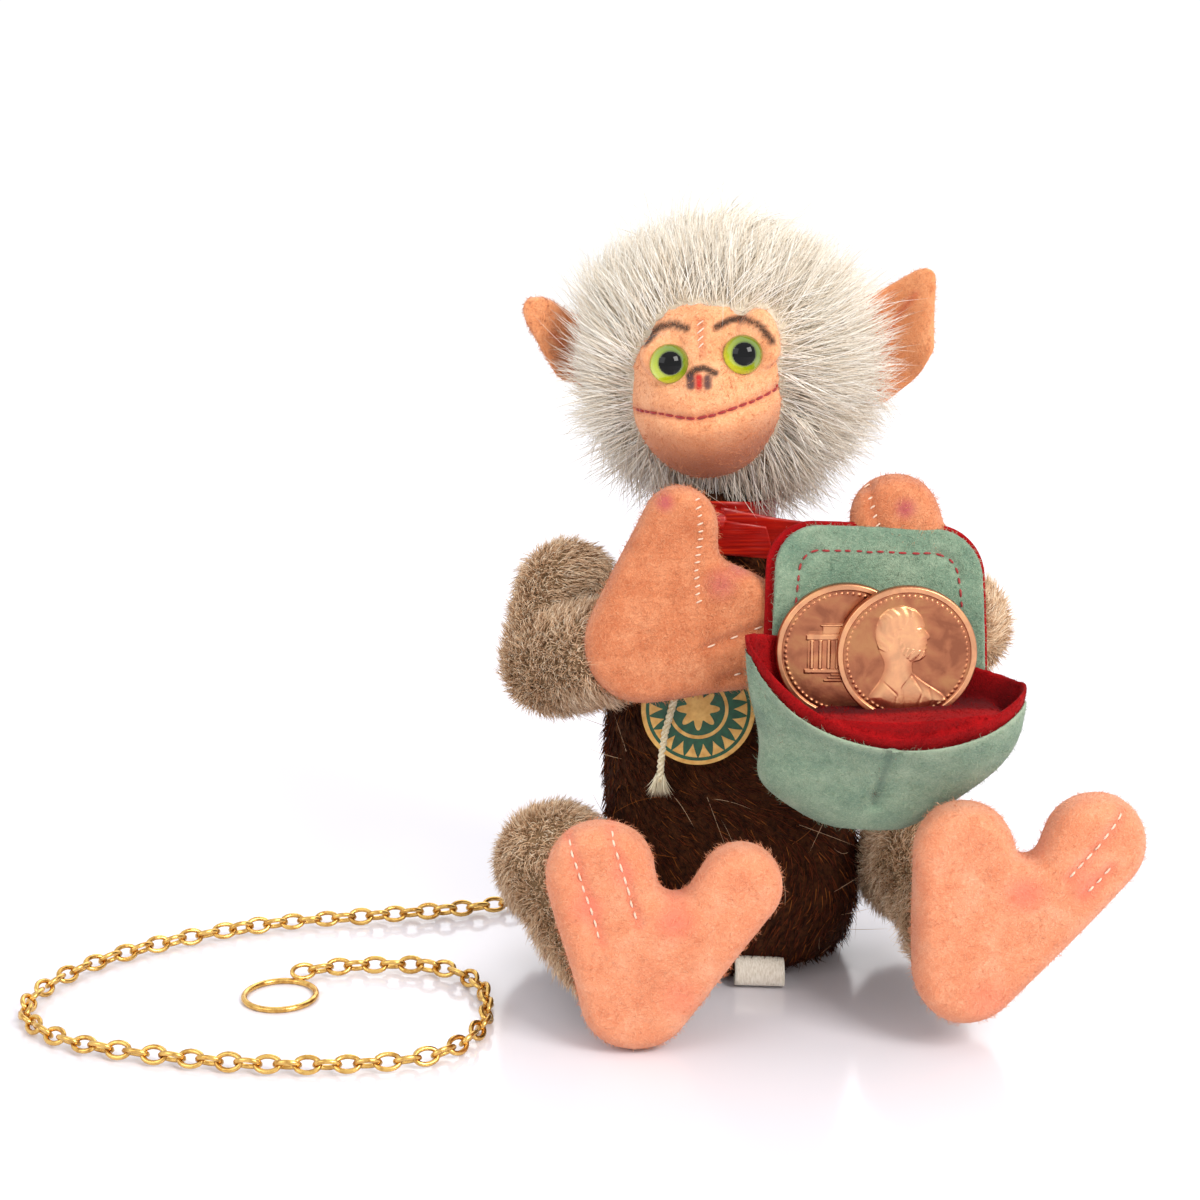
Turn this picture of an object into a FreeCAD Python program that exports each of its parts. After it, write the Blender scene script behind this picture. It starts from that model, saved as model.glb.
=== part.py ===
import FreeCAD, Part
import math
import os
import Sketcher
from FreeCAD import Placement, Rotation, Vector

# A seated, disc-jointed mohair monkey that holds its felt cap out for coins.
# Frame: +X to the monkey's left, -Y to the front, +Z up, origin at the middle of the flat seat.

doc = FreeCAD.newDocument("jointed_monkey")

# ---------------------------------------------------------------- driving sizes (mm, degrees)
SIZES = [
    ("torso_lean", 4.6, "sideways shift of the collar over the seat"),
    ("seat_level", 0.0, "torso section heights, half widths and half depths"),
    ("seat_wide", 13.0, ""), ("seat_deep", 11.0, ""),
    ("rump_level", 5.0, ""), ("rump_wide", 18.0, ""), ("rump_deep", 15.5, ""),
    ("belly_level", 17.0, ""), ("belly_wide", 19.3, ""), ("belly_deep", 17.0, ""),
    ("waist_level", 32.0, ""), ("waist_wide", 18.8, ""), ("waist_deep", 16.6, ""),
    ("chest_level", 48.0, ""), ("chest_wide", 16.8, ""), ("chest_deep", 14.8, ""),
    ("yoke_level", 60.0, ""), ("yoke_wide", 13.2, ""), ("yoke_deep", 11.6, ""),
    ("nape_level", 68.0, ""), ("nape_wide", 8.0, ""), ("nape_deep", 7.9, ""),
    ("collar_level", 73.5, ""), ("collar_wide", 6.2, ""), ("collar_deep", 6.1, ""),
    ("cloth", 0.8, "thickness of the mohair backing and of the felt"),
    ("shoulder_level", 57.0, "height of the shoulder axis"),
    ("shoulder_reach", 22.9, "torso middle to the middle of an arm's root"),
    ("arm_radius", 7.0, ""), ("cuff_radius", 6.6, ""),
    ("hip_level", 13.5, "height of the hip axis"),
    ("hip_reach", 27.6, "torso middle to the middle of a leg's root"),
    ("leg_radius", 7.9, ""), ("ankle_radius", 7.2, ""),
    ("head_level", 93.0, "height of the middle of the head"),
    ("head_wide", 19.0, ""), ("head_deep", 17.5, ""), ("head_tall", 18.6, ""),
    ("muzzle_wide", 10.8, ""), ("muzzle_deep", 11.6, ""), ("muzzle_tall", 11.3, ""),
    ("eye_radius", 2.75, ""), ("eye_stem_radius", 0.4, ""), ("eye_stem_length", 4.0, ""),
    ("ear_thick", 1.6, ""),
    ("disc_thick", 1.2, "hardboard joint discs"),
    ("neck_disc_radius", 4.6, ""), ("shoulder_disc_radius", 4.2, ""), ("hip_disc_radius", 5.2, ""),
    ("pin_radius", 0.6, "cotter pin shank"), ("pin_clearance", 0.05, "radial, in the torso side"),
    ("pin_head_radius", 1.6, ""), ("pin_head_thick", 0.6, ""),
    ("pin_tail_radius", 1.3, ""), ("pin_tail_thick", 0.9, ""),
    ("washer_radius", 2.4, ""), ("washer_thick", 0.4, ""), ("end_play", 0.05, ""),
    ("hand_thick", 6.5, ""), ("hand_round", 2.4, ""),
    ("foot_thick", 7.5, ""), ("foot_round", 2.8, ""),
    ("coin_radius", 9.525, "a one-cent coin"), ("coin_thick", 1.52, ""), ("coin_edge", 0.15, ""),
    ("cap_tilt", 11.0, "the cap's roll to the monkey's left"),
    ("cap_floor", 46.8, "height of the lining that the coins stand on"), ("dip_radius", 24.0, ""),
    ("peak_thick", 1.1, ""),
    ("tag_radius", 8.3, ""), ("tag_thick", 0.7, ""), ("tag_hole", 0.8, ""),
    ("ribbon_radius", 8.5, ""), ("ribbon_thick", 0.7, ""), ("ribbon_tall", 4.2, ""),
    ("chain_diameter", 3.0, "outside of the twisted cable chain"),
    ("end_ring_radius", 5.3, "middle line of the chain's last ring"), ("end_ring_wire", 0.45, ""),
    ("small_ring_radius", 1.9, ""), ("small_ring_wire", 0.35, ""),
]
sheet = doc.addObject("Spreadsheet::Sheet", "sizes")
for row, (alias, value, note) in enumerate(SIZES, 1):
    sheet.set(f"A{row}", alias)
    sheet.set(f"B{row}", str(value))
    sheet.set(f"C{row}", note)
    sheet.setAlias(f"B{row}", alias)
doc.recompute()


def size(alias):
    """The value of one cell of the sheet."""
    return float(sheet.get(alias))


def bind(thing, **sizes):
    """Bind properties to expressions; every word in them that is an alias is a cell."""
    for name, text in sizes.items():
        words = [f"sizes.{w}" if w in ALIASES else w for w in text.split()]
        thing.setExpression(name.replace("__", "."), " ".join(words))
    return thing


ALIASES = {alias for alias, value, note in SIZES}
NODES = {}                                   # node name -> document object
X_AXIS, Y_AXIS, Z_AXIS = Vector(1, 0, 0), Vector(0, 1, 0), Vector(0, 0, 1)


def node(label, thing):
    """Name a finished sub-part; its label is its file's name."""
    thing.Label = label
    NODES[label] = thing
    return thing


# ---------------------------------------------------------------- small builders
def ball(name, centre, radius):
    return placed(bind(doc.addObject("Part::Sphere", name), Radius=radius), centre)


def rod(name, radius, length, place):
    """A cylinder along its own Z."""
    thing = bind(doc.addObject("Part::Cylinder", name), Radius=radius, Height=length)
    thing.Placement = place
    return thing


def placed(thing, centre, rotation=Rotation()):
    thing.Placement = Placement(Vector(*centre), rotation)
    return thing


def ellipsoid(name, centre, wide, deep, tall):
    thing = bind(doc.addObject("Part::Ellipsoid", name), Radius1=tall, Radius2=wide, Radius3=deep)
    thing.Angle1 = -90
    return placed(thing, centre)


def join(name, things):
    fused = doc.addObject("Part::MultiFuse", name)
    fused.Shapes = things
    return fused


def minus(name, base, *tools):
    """The base with each tool cut away."""
    result = base
    for count, tool in enumerate(tools, 1):
        cut = doc.addObject("Part::Cut", f"{name}_cut{count}")
        cut.Base = result
        cut.Tool = tool
        result = cut
    return result


def common(name, first, second):
    both = doc.addObject("Part::Common", name)
    both.Base = first
    both.Tool = second
    return both


def loft(name, sections):
    skin = doc.addObject("Part::Loft", name)
    skin.Sections = sections
    skin.Solid = True
    return skin


def belt(rounds):
    """A closed outline of arcs joined by tangent lines.

    Each round is (x, y, radius, turn), visited anticlockwise: turn 1 is an outer corner and
    turn -1 an inner one.
    """
    touch = []
    for first, second in zip(rounds, rounds[1:] + rounds[:1]):
        (ax, ay, ar, at), (bx, by, br, bt) = first, second
        gap = math.hypot(bx - ax, by - ay)
        heading = math.atan2(by - ay, bx - ax) + math.asin((at * ar - bt * br) / gap)
        right = Vector(math.sin(heading), -math.cos(heading), 0)
        touch.append((Vector(ax, ay, 0) + right * (at * ar), Vector(bx, by, 0) + right * (bt * br)))
    edges = []
    for index, (x, y, radius, turn) in enumerate(rounds):
        centre = Vector(x, y, 0)
        arrive, leave = touch[index - 1][1], touch[index][0]
        sweep = math.atan2((leave - centre).y, (leave - centre).x)
        start = math.atan2((arrive - centre).y, (arrive - centre).x)
        half = ((sweep - start) * turn % (2 * math.pi)) * turn / 2
        middle = centre + Vector(math.cos(start + half), math.sin(start + half), 0) * radius
        edges.append(Part.Arc(arrive, middle, leave))
        edges.append(Part.LineSegment(leave, touch[index][1]))
    return edges


def sketch(body, role):
    """A sketch on one of the body's own origin planes."""
    outline = body.newObject("Sketcher::SketchObject", f"{body.Name}_outline")
    plane = [feature for feature in body.Origin.OriginFeatures if feature.Role == role][0]
    outline.AttachmentSupport = [(plane, "")]
    outline.MapMode = "FlatFace"
    return outline


def plate(name, rounds, thickness, place, rounding=None):
    """A plate standing in the XZ plane, its thickness shared about that plane."""
    body = doc.addObject("PartDesign::Body", name)
    outline = sketch(body, "XZ_Plane")
    outline.addGeometry(belt(rounds), False)
    pad = body.newObject("PartDesign::Pad", f"{name}_pad")
    pad.Profile = outline
    bind(pad, Length=thickness)
    pad.Midplane = True
    doc.recompute()
    if rounding:
        rims = []
        for index, edge in enumerate(pad.Shape.Edges, 1):
            across = abs(edge.tangentAt(edge.FirstParameter).y) > 0.5
            if not across:
                rims.append(f"Edge{index}")
        fillet = body.newObject("PartDesign::Fillet", f"{name}_fillet")
        fillet.Base = (pad, rims)
        bind(fillet, Radius=rounding)
    body.Placement = place
    return body


def disc(name, radius, bore, thickness, place):
    """A flat ring standing on its own XY plane."""
    body = doc.addObject("PartDesign::Body", name)
    outline = sketch(body, "XY_Plane")
    for index, expression in enumerate((radius, bore)):
        outline.addGeometry(Part.Circle(Vector(), Z_AXIS, 2.0 - index), False)
        outline.addConstraint(Sketcher.Constraint("Coincident", index, 3, -1, 1))
        outline.addConstraint(Sketcher.Constraint("Radius", index, 2.0 - index))
        bind(outline, **{f"Constraints[{2 * index + 1}]": expression})
    pad = body.newObject("PartDesign::Pad", f"{name}_pad")
    pad.Profile = outline
    bind(pad, Length=thickness)
    body.Placement = place
    return body


def pin(name, reach_in, reach_out, place):
    """A headed cotter pin along its own Z: tail below, head above."""
    body = doc.addObject("PartDesign::Body", name)
    outline = sketch(body, "XZ_Plane")
    tail, shank, head = size("pin_tail_radius"), size("pin_radius"), size("pin_head_radius")
    levels = (-reach_in - size("pin_tail_thick"), -reach_in, reach_out,
              reach_out + size("pin_head_thick"))
    corners = [(0, levels[0]), (tail, levels[0]), (tail, levels[1]), (shank, levels[1]),
               (shank, levels[2]), (head, levels[2]), (head, levels[3]), (0, levels[3])]
    for first, second in zip(corners, corners[1:] + corners[:1]):
        outline.addGeometry(Part.LineSegment(Vector(*first, 0), Vector(*second, 0)), False)
    spin = body.newObject("PartDesign::Revolution", f"{name}_turning")
    spin.Profile = outline
    spin.ReferenceAxis = (outline, ["V_Axis"])
    spin.Angle = 360
    body.Placement = place
    return body


def limb(name, points, radii, less):
    """Balls at the limb's points, joined by cones; `less` is taken off every radius."""
    things = []
    for index, (point, radius) in enumerate(zip(points, radii)):
        things.append(ball(f"{name}_ball{index}", point, f"{radius} - {less}"))
    for index, (start, end) in enumerate(zip(points, points[1:])):
        run = Vector(*end) - Vector(*start)
        cone = bind(doc.addObject("Part::Cone", f"{name}_cone{index}"),
                    Radius1=f"{radii[index]} - {less}", Radius2=f"{radii[index + 1]} - {less}")
        cone.Height = run.Length
        cone.Placement = Placement(Vector(*start), Rotation(Z_AXIS, run))
        things.append(cone)
    return join(name, things)


def shrink(rounds, less):
    """The same outline, moved inward."""
    return [(x, y, radius - turn * less, turn) for x, y, radius, turn in rounds]


# ---------------------------------------------------------------- torso
SECTIONS = ("seat", "rump", "belly", "waist", "chest", "yoke", "nape", "collar")


def torso_form(name, less):
    """Ellipses stacked up the leaning body; `less` is the wall left outside them."""
    rings = []
    for section in SECTIONS:
        lift = {"seat": f"+ {less}", "collar": f"- {less}"}.get(section, "+ 0")
        ring = bind(doc.addObject("Part::Ellipse", f"{name}_{section}"),
                    MajorRadius=f"{section}_wide - {less}", MinorRadius=f"{section}_deep - {less}",
                    Placement__Base__x=f"-1 * torso_lean * {section}_level / collar_level",
                    Placement__Base__z=f"{section}_level {lift}")
        rings.append(ring)
    return loft(name, rings)


def lean_at(level):
    return -size("torso_lean") * level / size("collar_level")


DISC_DEPTH = {"neck": 3.4, "shoulder": 5.2, "hip": 4.6}      # torso surface to its joint disc
DISC_RISE = {"neck": 4.0, "shoulder": 2.6, "hip": 3.6}       # torso surface to the limb's disc


class JointStack:
    """The discs, washer and pin of one joint, along an axis that points from torso to limb."""

    def __init__(self, name, kind, foot, direction):
        self.name, self.kind = name, kind
        self.radius = f"{kind}_disc_radius"
        self.base = Placement(Vector(*foot), Rotation(Z_AXIS, Vector(*direction)))
        self.inner = DISC_DEPTH[kind] + size("disc_thick")
        self.tail = self.inner + size("washer_thick") + size("end_play")
        self.outer = DISC_RISE[kind] + size("disc_thick")

    def at(self, along):
        return self.base.multiply(Placement(Vector(0, 0, along), Rotation()))

    def torso_tools(self):
        """What the joint takes out of the torso's skin and filling."""
        tail_room = self.tail + size("pin_tail_thick") + size("end_play")
        bore = rod(f"{self.name}_bore", "pin_radius + pin_clearance", "20", self.at(-self.inner))
        pocket = rod(f"{self.name}_pocket", self.radius, "disc_thick", self.at(-self.inner))
        well = rod(f"{self.name}_well", "washer_radius + end_play", "3", self.at(-tail_room))
        bind(well, Height=f"{tail_room - self.inner}")
        return [bore, pocket, well]

    def limb_tools(self):
        """What the joint takes out of the limb's skin and filling."""
        shank = rod(f"{self.name}_shank_way", "pin_radius", f"{self.outer + 3}", self.at(-3))
        pocket = rod(f"{self.name}_limb_pocket", self.radius, "disc_thick", self.at(DISC_RISE[self.kind]))
        cap = rod(f"{self.name}_head_way", "pin_head_radius", "pin_head_thick", self.at(self.outer))
        return [shank, pocket, cap]

    def hardware(self):
        node(f"{self.name}_disc_inner",
             disc(f"{self.name}_disc_inner", self.radius, "pin_radius + pin_clearance", "disc_thick",
                  self.at(-self.inner)))
        node(f"{self.name}_disc_outer",
             disc(f"{self.name}_disc_outer", self.radius, "pin_radius", "disc_thick",
                  self.at(DISC_RISE[self.kind])))
        node(f"{self.name}_pin", pin(f"{self.name}_pin", self.tail, self.outer, self.base))
        return disc(f"{self.name}_washer", "washer_radius", "pin_radius + pin_clearance",
                    "washer_thick", self.at(-self.inner - size("washer_thick")))


SIDES = {"right": -1, "left": 1}
stacks = {"neck": JointStack("neck", "neck", (lean_at(size("collar_level")), 0, size("collar_level")),
                             (0, 0, 1))}
for side, sign in SIDES.items():
    for kind, level, reach, radius in (("shoulder", "shoulder_level", "shoulder_reach", "arm_radius"),
                                       ("hip", "hip_level", "hip_reach", "leg_radius")):
        middle = lean_at(size(level))
        edge = size(reach) - size(radius)
        stacks[f"{kind}_{side}"] = JointStack(f"{kind}_{side}", kind,
                                              (middle + sign * edge, 0, size(level)), (sign, 0, 0))

skin_tools, filling_tools, washers = [], [], []
for stack in stacks.values():
    tools = stack.torso_tools()
    skin_tools.append(tools[0])
    filling_tools.extend(tools)
    washers.append(stack.hardware())
torso_inside = torso_form("torso_inside", "cloth")
node("torso_skin", minus("torso_skin", torso_form("torso_outside", "0"), torso_inside, *skin_tools))
node("torso_stuffing", minus("torso_stuffing", torso_form("torso_filling", "cloth"), *filling_tools))
washer_group = doc.addObject("Part::Compound", "joint_washers")
washer_group.Links = washers
node("joint_washers", washer_group)

# ---------------------------------------------------------------- head
HEAD = (-4.2, 0.5, size("head_level"))
MUZZLE = (-6.4, -9.8, 89.2)
EYES = {"right": (-11.9, -17.6, 94.0), "left": (-1.7, -17.9, 95.3)}
EAR_ROUNDS = {            # anticlockwise from the tip, seen from the front
    "right": [(-29.4, 97.2, 2.0, 1), (-26.0, 91.6, 2.4, 1), (-17.0, 88.5, 3.5, 1), (-17.5, 99.0, 3.0, 1)],
    "left": [(25.4, 102.4, 2.0, 1), (12.0, 100.5, 3.0, 1), (10.5, 88.5, 3.0, 1), (19.6, 88.0, 2.3, 1),
             (25.0, 95.0, 2.6, 1)],
}
neck = stacks["neck"]
head_out = ellipsoid("head_outside", HEAD, "head_wide", "head_deep", "head_tall")
head_in = ellipsoid("head_inside", HEAD, "head_wide - cloth", "head_deep - cloth", "head_tall - cloth")
sockets, stems = [], []
for side, place in EYES.items():
    sockets.append(ball(f"eye_{side}_socket", place, "eye_radius"))
    aim = (Vector(*HEAD) - Vector(*place)).normalize()
    root = Vector(*place) + aim * (size("eye_radius") - 0.05)
    stems.append(rod(f"eye_{side}_stem_way", "eye_stem_radius", "eye_stem_length",
                     Placement(root, Rotation(Z_AXIS, aim))))
muzzle = ellipsoid("muzzle", MUZZLE, "muzzle_wide", "muzzle_deep", "muzzle_tall")
neck_tools = neck.limb_tools()
node("head_skin", minus("head_skin", head_out, head_in, neck_tools[0], neck_tools[2], *sockets, *stems))
node("head_stuffing", minus("head_stuffing", head_in, *neck_tools, *sockets, *stems))
node("face_felt", minus("face_felt", muzzle, head_out, *sockets))
for side, place in EYES.items():
    node(f"eye_{side}", ball(f"eye_{side}", place, "eye_radius"))
shanks = doc.addObject("Part::Compound", "eye_shanks")
shanks.Links = [minus(f"{stem.Name}_trimmed", stem, socket) for stem, socket in zip(stems, sockets)]
node("eye_shanks", shanks)
for side, rounds in EAR_ROUNDS.items():
    flap = plate(f"ear_{side}_flap", rounds, "ear_thick", Placement(Vector(0, 1, 0), Rotation()))
    node(f"ear_{side}", minus(f"ear_{side}", flap, head_out))

# ---------------------------------------------------------------- arms and hands
def limb_root(side, kind):
    """Where a limb's middle line crosses its joint axis."""
    level = size(f"{kind}_level")
    return lean_at(level) + SIDES[side] * size(f"{kind}_reach"), 0, level


ARM_POINTS = {
    "right": [limb_root("right", "shoulder"), (-28.6, -8.5, 48.0), (-20.0, -20.5, 53.0)],
    "left": [limb_root("left", "shoulder"), (31.2, -9.2, 54.4), (27.3, -19.4, 56.8)],
}
ARM_RADII = ["arm_radius", "arm_radius", "cuff_radius"]
HAND_ROUNDS = {           # thumb, crotch, fingers and palm, seen from the front
    "right": [(-10.4, 72.6, 5.3, 1), (-15.5, 55.2, 8.4, 1), (-3.5, 57.3, 8.8, 1), (-2.6, 69.2, 2.6, -1)],
    "left": [(19.3, 73.4, 6.0, 1), (11.6, 68.4, 1.6, -1), (13.6, 57.0, 8.0, 1), (22.5, 57.0, 8.8, 1)],
}
HAND_DEPTH = -24.2        # middle of the hands, in front of the body's middle


def limb_set(side, kind, points, radii, paw_rounds, paw_depth, paw):
    """A limb's sleeve, filling, felt paw and the paw's own filling."""
    thick, rounding = f"{paw}_thick", f"{paw}_round"
    place = Placement(Vector(0, paw_depth, 0), Rotation())
    stack = stacks[f"{'shoulder' if kind == 'arm' else 'hip'}_{side}"]
    tools = stack.limb_tools()
    label = f"{kind}_{side}"
    paw_out = plate(f"{paw}_{side}_outside", paw_rounds, thick, place, rounding)
    paw_in = plate(f"{paw}_{side}_inside", shrink(paw_rounds, size("cloth")), f"{thick} - 2 * cloth",
                   place, f"{rounding} - cloth")
    inside = limb(f"{label}_inside", points, radii, "cloth")
    outside = limb(f"{label}_outside", points, radii, "0")
    node(f"{label}_sleeve", minus(f"{label}_sleeve", outside, inside, tools[0], paw_out))
    node(f"{label}_stuffing", minus(f"{label}_stuffing", inside, *tools, paw_out))
    node(f"{paw}_{side}_felt", minus(f"{paw}_{side}_felt", paw_out, paw_in))
    node(f"{paw}_{side}_stuffing", paw_in)


for side in SIDES:
    limb_set(side, "arm", ARM_POINTS[side], ARM_RADII, HAND_ROUNDS[side], HAND_DEPTH, "hand")

# ---------------------------------------------------------------- legs and feet
LEG_POINTS = {
    "right": [limb_root("right", "hip"), (-27.8, -14.0, 18.5), (-20.5, -29.0, 12.0)],
    "left": [limb_root("left", "hip"), (27.6, -13.5, 18.5), (30.5, -26.0, 13.0)],
}
LEG_RADII = ["leg_radius", "leg_radius", "ankle_radius"]
FOOT_ROUNDS = {           # big toe, toes, heel, seen from the front
    "right": [(-2.2, 24.0, 5.8, 1), (-11.2, 25.4, 2.6, -1), (-21.6, 25.8, 7.6, 1), (-16.6, 8.4, 8.2, 1)],
    "left": [(28.6, 29.2, 6.9, 1), (29.5, 12.0, 7.6, 1), (46.4, 30.4, 7.0, 1), (37.2, 30.0, 1.6, -1)],
}
FOOT_DEPTH = {"right": -37.2, "left": -37.6}

for side in SIDES:
    limb_set(side, "leg", LEG_POINTS[side], LEG_RADII, FOOT_ROUNDS[side], FOOT_DEPTH[side], "foot")

# ---------------------------------------------------------------- cap, sewn to the left palm
CAP_SECTIONS = [          # middle (x, y, z), half width, half depth, roll to the left
    ((16.0, -30.4, 30.5), 5.0, 1.9, 0.0), ((16.0, -31.2, 34.0), 10.2, 3.2, 1.0),
    ((16.3, -32.6, 39.0), 14.2, 4.5, 5.0), ((17.0, -34.8, 46.5), 18.4, 6.6, 9.0),
    ((17.3, -35.0, 53.6), 19.6, 7.1, size("cap_tilt")),
]
DIP = Vector(20.3, 0, 68.3)               # axis of the sag between the mouth's two corners
PEAK_ROUNDS = [(24.3, 65.3, 7.0, 1), (8.6, 66.8, 6.0, 1), (5.2, 56.0, 3.0, 1), (29.0, 52.0, 3.0, 1)]
PEAK_DEPTH = -28.7


def cap_form(name, less):
    """The pouch of the upturned cap, from its crown up to the mouth."""
    rings = []
    for index, (middle, wide, deep, roll) in enumerate(CAP_SECTIONS):
        ring = bind(doc.addObject("Part::Ellipse", f"{name}_{index}"),
                    MajorRadius=f"{wide} - {less}", MinorRadius=f"{deep} - {less}")
        placed(ring, middle, Rotation(Y_AXIS, roll))
        if index == 0:
            bind(ring, Placement__Base__z=f"{middle[2]} + {less}")
        rings.append(ring)
    return loft(name, rings)


def above(name, level):
    """Everything over one height, as far as the cap reaches."""
    block = doc.addObject("Part::Box", name)
    bind(block, Length="60", Width="30", Height="30", Placement__Base__z=level)
    block.Placement.Base = Vector(-12, -48, 0)
    return block


cap_out = cap_form("cap_outside", "0")
cap_mid = cap_form("cap_felt_inside", "cloth")
cap_in = cap_form("cap_lining_inside", "2 * cloth")
mouth_sag = rod("cap_mouth_sag", "dip_radius", "12",
                Placement(DIP + Vector(0, CAP_SECTIONS[-1][0][1], 0), Rotation(X_AXIS, 90)))
cap_wadding = minus("cap_wadding", cap_in, above("over_wadding", "cap_floor - cloth"))
cap_hollow = common("cap_hollow", cap_in, above("over_floor", "cap_floor"))
node("cap_crown", minus("cap_crown", cap_out, cap_mid, mouth_sag))
node("cap_lining", minus("cap_lining", cap_mid, cap_wadding, cap_hollow,
                         minus("mouth_sag_rim", mouth_sag, cap_in)))
node("cap_wadding", cap_wadding)
peak = plate("cap_peak_flap", PEAK_ROUNDS, "peak_thick", Placement(Vector(0, PEAK_DEPTH, 0), Rotation()))
node("cap_peak", minus("cap_peak", peak, cap_out))

# ---------------------------------------------------------------- coins
COINS = {"front": (20.2, -34.3), "back": (12.0, -32.7)}       # x and y of each coin's middle
for name, (x, y) in COINS.items():
    body = doc.addObject("PartDesign::Body", f"coin_{name}")
    outline = sketch(body, "XZ_Plane")
    outline.addGeometry(Part.Circle(Vector(), Z_AXIS, 9.5), False)
    outline.addConstraint(Sketcher.Constraint("Coincident", 0, 3, -1, 1))
    outline.addConstraint(Sketcher.Constraint("Radius", 0, 9.5))
    bind(outline, **{"Constraints[1]": "coin_radius"})
    blank = body.newObject("PartDesign::Pad", f"coin_{name}_blank")
    blank.Profile = outline
    bind(blank, Length="coin_thick")
    blank.Midplane = True
    doc.recompute()
    rim = body.newObject("PartDesign::Chamfer", f"coin_{name}_rim")
    rim.Base = (blank, [f"Face{i}" for i, face in enumerate(blank.Shape.Faces, 1)
                        if face.Surface.TypeId == "Part::GeomPlane"])
    bind(rim, Size="coin_edge")
    lift = size("cap_floor") + size("coin_radius") + size("end_play")
    body.Placement = Placement(Vector(x, y, lift), Rotation())
    node(f"coin_{name}", body)

# ---------------------------------------------------------------- cords: straight runs and tangent arcs
CORNER_SHARE = 0.45                       # share of the shorter run that an arc takes up


def rounded_route(points):
    """The route's wire and the radii of its arcs."""
    corners = [Vector(*point) for point in points]
    edges, radii, last = [], [], corners[0]
    for before, corner, after in zip(corners, corners[1:], corners[2:]):
        arriving, leaving = corner - before, after - corner
        short = min(arriving.Length, leaving.Length) * CORNER_SHARE
        start = corner - arriving.normalize() * short
        end = corner + leaving.normalize() * short
        half_turn = arriving.getAngle(leaving) / 2
        radius = short / math.tan(half_turn)
        inward = (leaving - arriving).normalize()
        centre = corner + inward * (radius / math.cos(half_turn))
        edges.append(Part.LineSegment(last, start).toShape())
        edges.append(Part.Arc(start, centre - inward * radius, end).toShape())
        radii.append(radius)
        last = end
    edges.append(Part.LineSegment(last, corners[-1]).toShape())
    return Part.Wire(edges), radii


def tube(name, points, radius):
    """A round cord along a rounded route."""
    wire, radii = rounded_route(points)
    start = Vector(*points[0])
    section = Part.Wire(Part.makeCircle(radius, start, Vector(*points[1]) - start))
    solid = wire.makePipeShell([section], True, False)
    thing = doc.addObject("Part::Feature", name)
    thing.Shape = solid
    print(f"{name}: {wire.Length:.1f} mm, arc radii {min(radii):.1f} to {max(radii):.1f} mm, "
          f"volume {solid.Volume:.1f} for {math.pi * radius ** 2 * wire.Length:.1f} mm3")
    return thing


# ---------------------------------------------------------------- neck ribbon, label and tag
NECK_LINE = lean_at(70.0)
RIBBON_FOOT = 68.3
collar = disc("ribbon_collar", "ribbon_radius + ribbon_thick", "ribbon_radius", "ribbon_tall",
              Placement(Vector(NECK_LINE, 0, RIBBON_FOOT), Rotation()))
node("ribbon_collar", collar)
BOW_ROUNDS = [(2.2, 69.6, 0.4, 1), (-5.2, 70.7, 0.4, 1), (-6.0, 66.3, 0.4, 1), (3.4, 65.5, 0.4, 1)]
bow = plate("ribbon_tail", BOW_ROUNDS, "ribbon_thick", Placement(Vector(0, -13.0, 0), Rotation()))
knot = ball("ribbon_knot", (NECK_LINE, -11.2, 70.0), "ribbon_thick * 2.5")
node("ribbon_bow", join("ribbon_bow", [bow, knot]))
LABEL_ROUNDS = [(5.6, 4.6, 0.4, 1), (-1.0, 4.4, 0.4, 1), (-1.0, 0.6, 0.4, 1), (5.6, 0.8, 0.4, 1)]
node("sewn_label", plate("sewn_label", LABEL_ROUNDS, "cloth", Placement(Vector(0, -16.8, 0), Rotation())))

TAG_MIDDLE = Vector(-7.3, -16.9, 43.6)
TAG_TILT = Rotation(X_AXIS, -5.5)
TAG_HOLE_RISE = 6.9                       # hole above the card's middle
TAG_EYE = TAG_MIDDLE + TAG_TILT.multVec(Vector(0, 0, TAG_HOLE_RISE))
card = rod("tag_round", "tag_radius", "tag_thick",
           Placement(TAG_MIDDLE + TAG_TILT.multVec(Vector(0, size("tag_thick") / 2, 0)),
                     TAG_TILT.multiply(Rotation(X_AXIS, 90))))
eyelet = rod("tag_eyelet", "tag_hole", "4",
             Placement(TAG_EYE + Vector(0, 2, 0), TAG_TILT.multiply(Rotation(X_AXIS, 90))))
node("tag_card", minus("tag_card", card, eyelet))
STRING_RADIUS, LOOP_RADIUS = 0.4, 1.6
loop = doc.addObject("Part::Torus", "string_loop")
bind(loop, Radius1=str(LOOP_RADIUS), Radius2=str(STRING_RADIUS))
loop.Placement = Placement(TAG_EYE + Vector(0, 0, LOOP_RADIUS), Rotation(Y_AXIS, 90))
LOOP_TOP = TAG_EYE + Vector(0, 0, 2 * LOOP_RADIUS)
string_up = tube("string_up", [(-8.4, -9.7, 68.9), (-8.2, -11.8, 63.0), tuple(LOOP_TOP)], STRING_RADIUS)
string_tail = tube("string_tail", [tuple(LOOP_TOP), (-11.6, -14.2, 49.0), (-13.9, -14.4, 39.5),
                                   (-12.6, -16.2, 31.0)], STRING_RADIUS)
node("tag_string", join("tag_string", [loop, string_up, string_tail]))

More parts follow.
